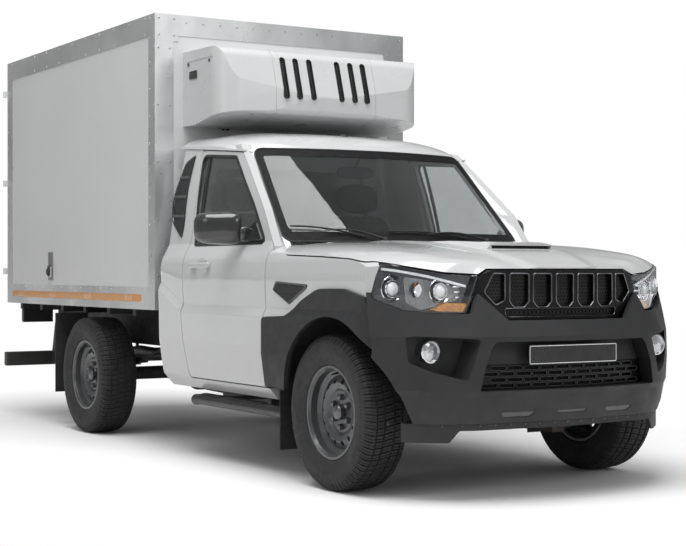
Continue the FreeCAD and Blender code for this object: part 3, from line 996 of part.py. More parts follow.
# Dashboard with the steering wheel on its column
dash = prism(((FIRE_Y + FIRE_T + SEAT_GAP, 760.0), (FIRE_Y + FIRE_T + SEAT_GAP, 1080.3), (-1460.0, 1080.3), (-1500.0, 1165.0),
              (-1250.0, 1168.0, 200.0), (-1010.0, 1150.0, 40.0), (-985.0, 1060.0, 60.0), (-1080.0, 760.0, 60.0)),
             "x", -DASH_HALF, DASH_HALF)
dash = biggest(dash.common(screen_side(4.0 + SCREEN_T + 4.0)).common(block(-DASH_HALF, DASH_HALF, -1600, -900, 700, DASH_Z)))
HELM = V(-SEAT_X, -860, 1085)
HELM_R = 185.0
tilt = V(0, 0.42, 0.908)
across = V(1, 0, 0)
up = V(0, -0.908, 0.42)
helm = Part.makeTorus(HELM_R, 15, HELM, tilt)
helm = helm.fuse(rod(HELM - tilt * 45, HELM + tilt * 6, 70))
for dx, du in ((1.0, 0.0), (-1.0, 0.0), (0.0, -1.0)):
    helm = helm.fuse(rod(HELM - tilt * 12, HELM - tilt * 12 + (across * dx + up * du) * (HELM_R - 4), 13))
column = rod(HELM - tilt * 30, HELM + V(0, -170, -105), 32)
dash = whole(dash.fuse(column).fuse(helm))
save("dashboard", biggest(dash))
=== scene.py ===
import math

import bmesh
import bpy
import numpy as np
from bpy.props import FloatProperty, FloatVectorProperty, PointerProperty
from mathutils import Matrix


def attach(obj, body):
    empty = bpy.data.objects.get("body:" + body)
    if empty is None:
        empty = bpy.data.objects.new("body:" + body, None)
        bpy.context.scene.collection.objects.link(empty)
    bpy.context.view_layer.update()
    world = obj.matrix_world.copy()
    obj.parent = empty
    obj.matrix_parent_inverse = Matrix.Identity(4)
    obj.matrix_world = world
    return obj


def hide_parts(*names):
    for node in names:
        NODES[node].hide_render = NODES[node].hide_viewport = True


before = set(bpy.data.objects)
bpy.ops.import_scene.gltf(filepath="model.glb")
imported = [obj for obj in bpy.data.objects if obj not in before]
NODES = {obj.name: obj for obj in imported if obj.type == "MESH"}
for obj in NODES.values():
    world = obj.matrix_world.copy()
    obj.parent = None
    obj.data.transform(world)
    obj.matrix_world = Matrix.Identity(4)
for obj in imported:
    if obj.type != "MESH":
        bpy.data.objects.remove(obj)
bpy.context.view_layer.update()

bl_info = {
    "name": "Refrigerated truck",
    "version": (1, 0, 0),
    "blender": (4, 5, 0),
    "location": "View3D > Sidebar > Truck",
    "description": "Finishes and details of a refrigerated truck: tyres, lamps, grille, glass, seats, box trim",
    "category": "Object",
}

# Shapes are in millimetres, as on the drawing: X to the vehicle's left, Y to its rear, Z up. put() turns them to
# metres. Finishes, the floor, the lamps and the camera are in metres.
MM = 0.001
AXLE_F, AXLE_R, HALF_TRACK, TYRE_R = -1900.0, 1140.0, 750.0, 367.5
WHEELS = (("front_left", 1, AXLE_F), ("front_right", -1, AXLE_F),
          ("rear_left", 1, AXLE_R), ("rear_right", -1, AXLE_R))
SIDES = (("left", 1), ("right", -1))
SCREEN_FOOT_Y, SCREEN_FOOT_Z, SCREEN_RAKE, SCREEN_ARC = -1460.0, 1182.0, 1.03, 1692.1
SCREEN_DEPTH = 1.436  # depth along Y for one unit square to the raked glass
UNIT_FOOT_Y, UNIT_FOOT_Z, UNIT_RAKE, UNIT_DEPTH, UNIT_SIDE = -474.0, 2030.0, 0.3083, 1.046, 678.5
TRIM_SIDE, TRIM_FRONT, REAR_FACE, PLATE_FACE = 860.5, 37.5, 2584.0, -2647.0
ARCH_Y, ARCH_Z, ARCH_RADIUS = -1.960, 0.362, 0.460  # metres, as materials read them
LENS_BACK = 2.591  # metres
SWELL_CAP = 0.012  # metres
MIRROR_SWEEP = 0.424  # rearward run of the mirror glass per unit outward
SIDE_LINE = ((800.0, 385.0), (858.0, 452.0, 30.0), (885.0, 648.0, 40.0), (889.0, 803.0, 8.0), (869.0, 846.0, 8.0),
             (876.0, 1000.0, 300.0), (866.0, 1095.0, 120.0), (820.0, 1182.0, 20.0), (784.0, 1425.0, 2500.0),
             (722.0, 1690.0), (706.0, 1752.0))
NOSE_LINE = ((-900.0, -1000.0), (-900.0, -2238.0, 150.0), (-560.0, -2526.0, 700.0), (0.0, -2612.0, 2200.0),
             (560.0, -2526.0, 700.0), (900.0, -2238.0, 150.0), (900.0, -1000.0))
BUMPER_ROWS = ((352.0, 862.0, -2296.0, -2568.0, -2622.0), (400.0, 880.0, -2300.0, -2590.0, -2652.0),
               (478.0, 893.0, -2302.0, -2612.0, -2690.0), (500.0, 905.0, -2304.0, -2620.0, -2712.0),
               (600.0, 908.0, -2302.0, -2622.0, -2716.0), (740.0, 908.0, -2296.0, -2612.0, -2704.0),
               (830.0, 905.0, -2276.0, -2572.0, -2660.0), (935.0, 902.0, -2246.0, -2530.0, -2616.0))
WINDOW_LINE = ((-1223.0, 1176.0, 12.0), (-1051.0, 1370.0, 900.0), (-735.0, 1645.0, 45.0), (-331.0, 1676.0, 30.0),
               (-416.0, 1176.0, 12.0))
SCREEN_LINE = ((748.0, 1180.0, 40.0), (668.0, 1690.0, 55.0), (-668.0, 1690.0, 55.0), (-748.0, 1180.0, 40.0))
LAMP_LINE = ((449.0, 1011.0, 8.0), (594.0, 1019.0, 80.0), (707.0, 1041.0, 200.0), (822.0, 1070.0, 14.0),
             (842.0, 1000.0, 60.0), (860.0, 910.0, 20.0), (766.0, 857.0, 60.0), (651.0, 844.0, 60.0),
             (512.0, 842.0, 12.0), (489.0, 893.0, 40.0))
LEAF_LINE = ((-226.0, 1692.0, 8.0), (-120.0, 1652.0, 60.0), (-42.0, 1440.0, 220.0), (-84.0, 1310.0, 120.0),
             (-232.0, 1212.0, 12.0), (-243.0, 1290.0, 200.0), (-216.0, 1512.0, 500.0))


# Shapes in a plane

def rounded(points, arc=6):
    """Corner points joined by straight runs; a third number rounds a corner: centre plus radius times (cos t, sin t).

    A line that is open has no third number at its two ends.
    """
    spots = np.array([p[:2] for p in points], float)
    pieces = []
    for i, p in enumerate(points):
        radius = p[2] if len(p) > 2 else 0.0
        if radius <= 0.0:
            pieces.append(spots[i][None])
            continue
        back = spots[i - 1] - spots[i]
        ahead = spots[(i + 1) % len(points)] - spots[i]
        back /= np.linalg.norm(back)
        ahead /= np.linalg.norm(ahead)
        half = math.acos(np.clip(back @ ahead, -1.0, 1.0)) / 2.0
        centre = spots[i] + (back + ahead) / np.linalg.norm(back + ahead) * (radius / math.sin(half))
        start = spots[i] + back * radius / math.tan(half) - centre
        final = spots[i] + ahead * radius / math.tan(half) - centre
        first = math.atan2(start[1], start[0])
        turn = (math.atan2(final[1], final[0]) - first + math.pi) % (2.0 * math.pi) - math.pi
        t = first + turn * np.linspace(0.0, 1.0, arc + 1)
        pieces.append(centre + radius * np.stack((np.cos(t), np.sin(t)), 1))
    return np.vstack(pieces)


def even(path, step, closed=True):
    """The same line with its points a nearly equal step apart, by linear interpolation along its length."""
    line = np.vstack((path, path[:1])) if closed else np.asarray(path, float)
    run = np.concatenate(([0.0], np.cumsum(np.linalg.norm(np.diff(line, axis=0), axis=1))))
    count = max(int(round(run[-1] / step)), 3)
    at = np.linspace(0.0, run[-1], count + 1)
    at = at[:-1] if closed else at
    return np.stack([np.interp(at, run, line[:, k]) for k in range(line.shape[1])], 1)


def moved_out(path, amount):
    """A closed outline moved outward: each point plus the amount times the outward normal of its two neighbours."""
    ahead = np.roll(path, -1, 0) - np.roll(path, 1, 0)
    normal = np.stack((ahead[:, 1], -ahead[:, 0]), 1)
    normal /= np.linalg.norm(normal, axis=1, keepdims=True) + 1e-9
    area = np.sum(path[:, 0] * np.roll(path[:, 1], -1) - np.roll(path[:, 0], -1) * path[:, 1])
    return path + normal * amount * (1.0 if area > 0 else -1.0)


def inside(points, path):
    """Which points lie inside a closed outline: an odd number of its edges crosses the ray from each point."""
    x, y = points[:, 0][:, None], points[:, 1][:, None]
    a, b = path, np.roll(path, -1, 0)
    crosses = (a[:, 1] > y) != (b[:, 1] > y)
    where = a[:, 0] + (y - a[:, 1]) * (b[:, 0] - a[:, 0]) / (b[:, 1] - a[:, 1] + 1e-12)
    return np.sum(crosses & (x < where), axis=1) % 2 == 1


def slab(x0, z0, x1, z1, arc, step):
    """Rectangle between two corners, rounded by the arc, its points about a step apart."""
    return even(rounded(((x0, z0, arc), (x1, z0, arc), (x1, z1, arc), (x0, z1, arc))), step)


def span(side, near, far):
    """Two distances from the middle plane on one side, the lower coordinate first."""
    return sorted((side * near, side * far))


def signed_power(t, power):
    """The sign of t times its size raised to the power."""
    return np.sign(t) * np.abs(t) ** power


def globe(around, upward):
    """The two angles of a sphere on a grid: once round, and from pole to pole."""
    return np.meshgrid(np.linspace(0.0, 2.0 * np.pi, around, endpoint=False),
                       np.linspace(-np.pi / 2, np.pi / 2, upward), indexing="ij")


# The body's own surfaces

def side_x(z):
    """Half width of the cab at a height."""
    line = rounded(SIDE_LINE, 10)
    order = np.argsort(line[:, 1])
    return np.interp(z, line[order, 1], line[order, 0])


def nose_y(x):
    """Front face of the nose at a distance from the middle."""
    line = rounded(NOSE_LINE, 30)
    order = np.argsort(line[:, 0])
    return np.interp(x, line[order, 0], line[order, 1])


def nose_at(x):
    """Front face of the nose at one distance from the middle, as a plain number."""
    return float(nose_y(np.array([x]))[0])


def bumper_y(x, z):
    """Front face of the bumper: straight between plan outlines stacked by height."""
    rows = []
    for _, side, edge, mid, front in BUMPER_ROWS:
        plan = rounded(((-side, -2000.0), (-side, edge, 130.0), (-562.0, mid, 420.0), (0.0, front, 1600.0),
                        (562.0, mid, 420.0), (side, edge, 130.0), (side, -2000.0)), 20)
        order = np.argsort(plan[:, 0])
        rows.append(np.interp(x, plan[order, 0], plan[order, 1]))
    rows = np.stack(rows)
    heights = np.array([row[0] for row in BUMPER_ROWS])
    i = np.clip(np.searchsorted(heights, z) - 1, 0, len(heights) - 2)
    t = (z - heights[i]) / (heights[i + 1] - heights[i])
    k = np.arange(len(x))
    return rows[i, k] * (1.0 - t) + rows[i + 1, k] * t


def screen_y(x, z):
    """Raked and curved windscreen: a straight slope in height plus a circular arc across."""
    slope = SCREEN_FOOT_Y + (z - SCREEN_FOOT_Z) * SCREEN_RAKE
    return slope + SCREEN_ARC - np.sqrt(SCREEN_ARC ** 2 - x * x)


def on_nose(inset):
    """Carries (x, z) onto the nose, the inset deeper."""
    return lambda p: np.stack((p[:, 0], nose_y(p[:, 0]) + inset, p[:, 1]), 1)


def on_bumper(inset):
    """Carries (x, z) onto the bumper, the inset deeper."""
    return lambda p: np.stack((p[:, 0], bumper_y(p[:, 0], p[:, 1]) + inset, p[:, 1]), 1)


def on_screen(inset):
    """Carries (x, z) onto the windscreen, the inset deeper, square to the glass."""
    return lambda p: np.stack((p[:, 0], screen_y(p[:, 0], p[:, 1]) + inset * SCREEN_DEPTH, p[:, 1]), 1)


def on_unit(inset):
    """Carries (x, z) onto the cooling unit's raked front, the inset deeper: a straight slope in height."""
    return lambda p: np.stack((p[:, 0], UNIT_FOOT_Y + (p[:, 1] - UNIT_FOOT_Z) * UNIT_RAKE + inset * UNIT_DEPTH,
                               p[:, 1]), 1)


def on_side(side, inset):
    """Carries (y, z) onto the cab side, the inset deeper."""
    return lambda p: np.stack((side * (side_x(p[:, 1]) - inset), p[:, 0], p[:, 1]), 1)


def flat_y(level):
    """Carries (x, z) onto the plane y = level."""
    return lambda p: np.stack((p[:, 0], np.full(len(p), level), p[:, 1]), 1)


def flat_x(level):
    """Carries (y, z) onto the plane x = level."""
    return lambda p: np.stack((np.full(len(p), level), p[:, 0], p[:, 1]), 1)


# Meshes as arrays. Each maker gives (points, (corners, sizes)): the faces' corner numbers in one row, and how many
# corners each face has.

def grid(nu, nv, wrap_u=False, wrap_v=False):
    """Quads of a grid of nu by nv points, closed in either direction if asked."""
    u, v = np.meshgrid(np.arange(nu if wrap_u else nu - 1), np.arange(nv if wrap_v else nv - 1), indexing="ij")
    a = u * nv + v
    b = ((u + 1) % nu) * nv + v
    c = ((u + 1) % nu) * nv + (v + 1) % nv
    d = u * nv + (v + 1) % nv
    return np.stack((a, b, c, d), -1).reshape(-1, 4)


def flat(quads):
    """Quads as one row of corner numbers and a row of fours."""
    return quads.ravel(), np.full(len(quads), 4)


def net(*size):
    """The faces of a whole grid."""
    return flat(grid(*size))


def hoop(loops):
    """Closed ring solid: equal closed loops laid round each other, joined in order and the last to the first."""
    return np.concatenate(loops), net(len(loops), len(loops[0]), True, True)


def rod_along(path, radius, sides=8, closed=False, reference=(0.0, 0.0, 1.0)):
    """Round bar: each path point plus radius times (cos t across + sin t up), with across = reference x tangent."""
    path = np.asarray(path, float)
    tangent = np.roll(path, -1, 0) - np.roll(path, 1, 0) if closed else np.gradient(path, axis=0)
    tangent /= np.linalg.norm(tangent, axis=1, keepdims=True)
    across = np.cross(np.asarray(reference, float), tangent)
    across /= np.linalg.norm(across, axis=1, keepdims=True) + 1e-9
    up = np.cross(tangent, across)
    t = np.linspace(0.0, 2.0 * np.pi, sides, endpoint=False)
    radius = np.broadcast_to(np.asarray(radius, float), (len(path),))[:, None, None]
    ring = across[:, None] * np.cos(t)[:, None] + up[:, None] * np.sin(t)[:, None]
    points = (path[:, None] + ring * radius).reshape(-1, 3)
    corners, sizes = net(len(path), sides, closed, True)
    if not closed:
        cap = np.arange(sides)
        corners = np.concatenate((corners, cap, cap[::-1] + (len(path) - 1) * sides))
        sizes = np.append(sizes, (sides, sides))
    return points, (corners, sizes)


def turned(profile, centre, axis="x", count=32, side=1.0):
    """Solid of revolution: points (along, radius) turned about the axis through the centre."""
    profile = np.asarray(profile, float)
    t = np.linspace(0.0, 2.0 * math.pi, count, endpoint=False)
    along = np.broadcast_to(profile[:, 0] * side, (count, len(profile)))
    a, b = np.cos(t)[:, None] * profile[:, 1], np.sin(t)[:, None] * profile[:, 1]
    order = {"x": (along, a, b), "y": (a, along, b), "z": (a, b, along)}[axis]
    points = np.stack(order, -1).reshape(-1, 3) + np.asarray(centre, float)
    return points, net(count, len(profile), True, True)


def plate(path, low, high):
    """Closed plate between two carried copies of one outline: a ring of quads and a cap at each level."""
    count = len(path)
    here = np.arange(count)
    after = np.roll(here, -1)
    sides = np.stack((here, after, after + count, here + count), 1).ravel()
    corners = np.concatenate((sides, here[::-1], here + count))
    return np.concatenate((low(path), high(path))), (corners, np.append(np.full(count, 4), (count, count)))


def band(outer, inner, low, high):
    """Closed flat ring between two outlines of equal count, from one carried level to the other."""
    return hoop([low(outer), low(inner), high(inner), high(outer)])


def bead(path, place, radius, sides=8, reference=(0.0, 0.0, 1.0)):
    """Round seal that follows a closed outline on a surface."""
    return rod_along(place(path), radius, sides, True, reference)


def bar(x0, x1, y0, y1, z0, z1, soft=2.0):
    """Block with rounded edges: the box corner shrunk by the softness plus a cube-sphere point times the softness."""
    n = 4
    t = np.tan(np.linspace(-np.pi / 4, np.pi / 4, n))
    u, v = np.meshgrid(t, t, indexing="ij")
    one = np.ones_like(u)
    cube = np.concatenate([np.stack(face, -1).reshape(-1, 3) for face in (
        (one, u, v), (-one, v, u), (v, one, u), (u, -one, v), (u, v, one), (v, u, -one))])
    ball = cube / np.linalg.norm(cube, axis=1, keepdims=True)
    middle = np.array([x0 + x1, y0 + y1, z0 + z1]) / 2
    half = np.array([x1 - x0, y1 - y0, z1 - z0]) / 2 - soft
    quads = grid(n, n)[None] + np.arange(6)[:, None, None] * n * n
    return middle + np.sign(cube) * half + ball * soft, flat(quads.reshape(-1, 4))


def copies(shape, places):
    """The same small shape at many places: its points plus each place."""
    points, (corners, sizes) = shape
    places = np.asarray(places, float)
    starts = np.arange(len(places)) * len(points)
    moved = (points[None] + places[:, None]).reshape(-1, 3)
    return moved, ((corners[None] + starts[:, None]).ravel(), np.tile(sizes, len(places)))


def together(*shapes):
    """Several shapes as one: each shape's corner numbers are raised by the number of points before it."""
    starts = np.cumsum([0] + [len(points) for points, _ in shapes])
    corners = np.concatenate([faces[0] + start for (_, faces), start in zip(shapes, starts)])
    sizes = np.concatenate([faces[1] for _, faces in shapes])
    return np.concatenate([points for points, _ in shapes]), (corners, sizes)


def mirrored(shape):
    """The shape across the middle plane; the corners are read backwards, so faces still point outward."""
    points, (corners, sizes) = shape
    return points * np.array([-1.0, 1.0, 1.0]), (corners[::-1], sizes[::-1])


def cells(path, pitch, wall, low, high):
    """Honeycomb: hexagon rings on a staggered grid of centres that lie inside the outline."""
    lowest, highest = path.min(0), path.max(0)
    columns = np.arange(lowest[0], highest[0] + pitch, pitch)
    rows = np.arange(lowest[1], highest[1] + pitch, pitch * 0.866)
    u, v = np.meshgrid(columns, rows, indexing="ij")
    u = u + (np.arange(len(rows)) % 2)[None] * pitch / 2
    centres = np.stack((u, v), -1).reshape(-1, 2)
    centres = centres[inside(centres, moved_out(path, -pitch * 0.35))]
    t = np.radians(np.arange(6) * 60.0 + 30.0)
    hexagon = np.stack((np.cos(t), np.sin(t)), 1)
    outer, inner = hexagon * pitch * 0.577, hexagon * (pitch * 0.577 - wall)
    loops = np.stack([centres[:, None] + ring for ring in (outer, inner, inner, outer)])
    placed = np.stack([place(loop.reshape(-1, 2)).reshape(len(centres), 6, 3)
                       for place, loop in zip((low, low, high, high), loops)], 1)
    quads = grid(4, 6, True, True)[None] + np.arange(len(centres))[:, None, None] * 24
    return placed.reshape(-1, 3), flat(quads.reshape(-1, 4))


def put(name, shape, material, body="truck", crease=35.0):
    """Makes the object in metres with doubles merged and faces outward, and lets it ride on its body.

    The shape is one shape or a list of them. A piece without a body belongs to the stage.
    """
    points, (corners, sizes) = together(*shape) if isinstance(shape, list) else shape
    mesh = bpy.data.meshes.new(name)
    mesh.vertices.add(len(points))
    mesh.vertices.foreach_set("co", (points * MM).astype(np.float32).ravel())
    mesh.loops.add(len(corners))
    mesh.loops.foreach_set("vertex_index", corners.astype(np.int32))
    mesh.polygons.add(len(sizes))
    mesh.polygons.foreach_set("loop_start", (np.cumsum(sizes) - sizes).astype(np.int32))
    mesh.update(calc_edges=True)
    work = bmesh.new()
    work.from_mesh(mesh)
    bmesh.ops.remove_doubles(work, verts=work.verts, dist=2e-6)
    bmesh.ops.recalc_face_normals(work, faces=work.faces)
    work.to_mesh(mesh)
    work.free()
    mesh.polygons.foreach_set("use_smooth", np.ones(len(mesh.polygons), bool))
    mesh.set_sharp_from_angle(angle=math.radians(crease))
    mesh.materials.append(SHELF[material])
    thing = bpy.data.objects.new(name, mesh)
    bpy.context.scene.collection.objects.link(thing)
    if body:
        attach(thing, body)
    return thing


# Finishes

def shader(name, colour, roughness, **sockets):
    """New node material with object coordinates; plain values go on the shader's own sockets."""
    material = bpy.data.materials.new(name)
    material.use_nodes = True
    tree = material.node_tree
    surface = tree.nodes["Principled BSDF"]
    surface.inputs["Base Color"].default_value = (*colour[:3], 1.0)
    surface.inputs["Roughness"].default_value = roughness
    for label, value in sockets.items():
        surface.inputs[label.replace("_", " ")].default_value = value
    place = tree.nodes.new("ShaderNodeTexCoord")
    return material, tree, surface, place.outputs["Object"]


def axis_of(tree, vector, axis):
    """One coordinate of a vector."""
    node = tree.nodes.new("ShaderNodeSeparateXYZ")
    tree.links.new(vector, node.inputs[0])
    return node.outputs[axis]


def mapped(tree, vector, scale):
    """The vector stretched along each axis."""
    node = tree.nodes.new("ShaderNodeMapping")
    node.inputs["Scale"].default_value = scale
    tree.links.new(vector, node.inputs["Vector"])
    return node.outputs["Vector"]


def noise(tree, vector, scale, detail=4.0, roughness=0.55):
    """Soft cloudy noise from 0 to 1."""
    node = tree.nodes.new("ShaderNodeTexNoise")
    node.inputs["Scale"].default_value = scale
    node.inputs["Detail"].default_value = detail
    node.inputs["Roughness"].default_value = roughness
    tree.links.new(vector, node.inputs["Vector"])
    return node.outputs["Fac"]


def cell_pattern(tree, vector, scale, feature="F1"):
    """Distance to the nearest cell's middle, or to its edge."""
    node = tree.nodes.new("ShaderNodeTexVoronoi")
    node.feature = feature
    node.inputs["Scale"].default_value = scale
    tree.links.new(vector, node.inputs["Vector"])
    return node.outputs["Distance"]


def between(tree, value, low, high, to_low=0.0, to_high=1.0):
    """Straight line from (low, to_low) to (high, to_high), held at both ends."""
    node = tree.nodes.new("ShaderNodeMapRange")
    for label, number in (("From Min", low), ("From Max", high), ("To Min", to_low), ("To Max", to_high)):
        node.inputs[label].default_value = number
    tree.links.new(value, node.inputs["Value"])
    return node.outputs["Result"]


def blend(tree, factor, first, second):
    """Colour that goes from the first to the second as the factor goes from 0 to 1."""
    node = tree.nodes.new("ShaderNodeMix")
    node.data_type = "RGBA"
    for socket, colour in ((node.inputs[6], first), (node.inputs[7], second)):
        if hasattr(colour, "is_output"):
            tree.links.new(colour, socket)
        else:
            socket.default_value = (*colour[:3], 1.0)
    tree.links.new(factor, node.inputs[0])
    return node.outputs[2]


def maths(tree, kind, *values):
    """One arithmetic step on links or plain numbers."""
    node = tree.nodes.new("ShaderNodeMath")
    node.operation = kind
    for socket, value in zip(node.inputs, values):
        if hasattr(value, "is_output"):
            tree.links.new(value, socket)
        else:
            socket.default_value = value
    return node.outputs[0]


def raise_bump(tree, surface, height, distance):
    """Relief of the height pattern, in metres."""
    node = tree.nodes.new("ShaderNodeBump")
    node.inputs["Strength"].default_value = 0.6
    node.inputs["Distance"].default_value = distance
    tree.links.new(height, node.inputs["Height"])
    tree.links.new(node.outputs["Normal"], surface.inputs["Normal"])


def finish(name, colour, second, patch, rough, grain, depth, stretch=(1.0, 1.0, 1.0), pebbled=False, dust=None,
           speckle=None, **sockets):
    """Two close shades in soft patches, a roughness that drifts with them, fine relief, and dust that fades upward. On
    the galvanised trim the two shades lie far apart, and their wide patches are a painted reflection.
    """
    material, tree, surface, place = shader(name, colour, sum(rough) / 2, **sockets)
    vector = mapped(tree, place, stretch)
    patches = noise(tree, vector, patch)
    tone = blend(tree, between(tree, patches, 0.35, 0.65), colour, second)
    if speckle:
        dots = between(tree, cell_pattern(tree, vector, speckle[0]), 0.0, 0.35, speckle[1], 0.0)
        tone = blend(tree, dots, tone, speckle[2])
    if dust:
        low, high, amount, shade = dust
        fade = between(tree, axis_of(tree, place, "Z"), low, high, amount, 0.0)
        cloud = between(tree, noise(tree, place, 9.0, 6.0), 0.3, 0.7, 0.2, 1.0)
        tone = blend(tree, maths(tree, "MULTIPLY", fade, cloud), tone, shade)
    tree.links.new(tone, surface.inputs["Base Color"])
    tree.links.new(between(tree, noise(tree, vector, patch * 3.1), 0.3, 0.7, rough[0], rough[1]),
                   surface.inputs["Roughness"])
    relief = cell_pattern(tree, vector, grain, "SMOOTH_F1") if pebbled else noise(tree, vector, grain, 3.0)
    raise_bump(tree, surface, relief, depth)
    return material


def arch_mask(tree, place):
    """1 inside the wheel arch circle, 0 outside: the root of the squared distances along Y and Z."""
    along = maths(tree, "ADD", axis_of(tree, place, "Y"), -ARCH_Y)
    up = maths(tree, "ADD", axis_of(tree, place, "Z"), -ARCH_Z)
    square = maths(tree, "ADD", maths(tree, "MULTIPLY", along, along), maths(tree, "MULTIPLY", up, up))
    return between(tree, maths(tree, "SQRT", square), ARCH_RADIUS - 0.0005, ARCH_RADIUS + 0.0005, 1.0, 0.0)


def front_mask(tree, place):
    """1 ahead of the rear lamps' lens face, 0 on it."""
    return between(tree, axis_of(tree, place, "Y"), LENS_BACK - 0.001, LENS_BACK + 0.001, 1.0, 0.0)


def cover(material, mask, colour):
    """Lays a second colour over a finished material where the mask is 1, and makes it matt there."""
    tree = material.node_tree
    surface = tree.nodes["Principled BSDF"]
    place = next(n for n in tree.nodes if n.type == "TEX_COORD").outputs["Object"]
    area = mask(tree, place)
    below = surface.inputs["Base Color"].links[0].from_socket
    tree.links.new(blend(tree, area, below, colour), surface.inputs["Base Color"])
    rough = surface.inputs["Roughness"].links[0].from_socket
    dull = maths(tree, "MAXIMUM", rough, maths(tree, "MULTIPLY", area, 0.5))
    tree.links.new(dull, surface.inputs["Roughness"])


def prisms(name, colour, second, roughness, coat, stretch, scale, reach, depth, feature="F1"):
    """Moulded lens or tape: two shades by the distance in small cells, which are also its relief."""
    material, tree, surface, place = shader(name, colour, roughness, Coat_Weight=coat)
    pattern = cell_pattern(tree, mapped(tree, place, stretch), scale, feature)
    tree.links.new(blend(tree, between(tree, pattern, *reach), colour, second), surface.inputs["Base Color"])
    raise_bump(tree, surface, pattern, depth)
    SHELF[name] = material


def see_through(name, tint, ior, **sockets):
    """Glass with a faint haze of wiped dirt in its roughness and tint."""
    material, tree, surface, place = shader(name, tint, 0.0, Transmission_Weight=1.0, IOR=ior, **sockets)
    haze = noise(tree, place, 4.0, 5.0)
    tree.links.new(between(tree, haze, 0.35, 0.75, 0.0, 0.035), surface.inputs["Roughness"])
    tree.links.new(blend(tree, between(tree, haze, 0.3, 0.7), tint, dim(tint, 0.93)), surface.inputs["Base Color"])
    SHELF[name] = material


def woven(name, colour):
    """Cloth: the product of a sine across and a sine along for the weave, over worn patches."""
    material, tree, surface, place = shader(name, colour, 0.9, Sheen_Weight=0.25)
    warp, weft = [maths(tree, "SINE", maths(tree, "MULTIPLY", axis_of(tree, place, axis), 2600.0)) for axis in "XY"]
    weave = maths(tree, "MULTIPLY", warp, weft)
    worn = between(tree, noise(tree, place, 14.0, 6.0), 0.3, 0.7)
    tree.links.new(blend(tree, between(tree, weave, -1.0, 1.0, 0.0, 0.45), blend(tree, worn, colour, dim(colour, 1.35)),
                         dim(colour, 0.5)), surface.inputs["Base Color"])
    raise_bump(tree, surface, weave, 0.0004)
    SHELF[name] = material


def dim(colour, amount):
    """The colour times the amount."""
    return tuple(amount * value for value in colour)


DUST = (0.46, 0.43, 0.38)
UNDERSEAL = (0.014, 0.014, 0.015)
LAMP_BLACK = (0.016, 0.016, 0.017)
SHELF = {}


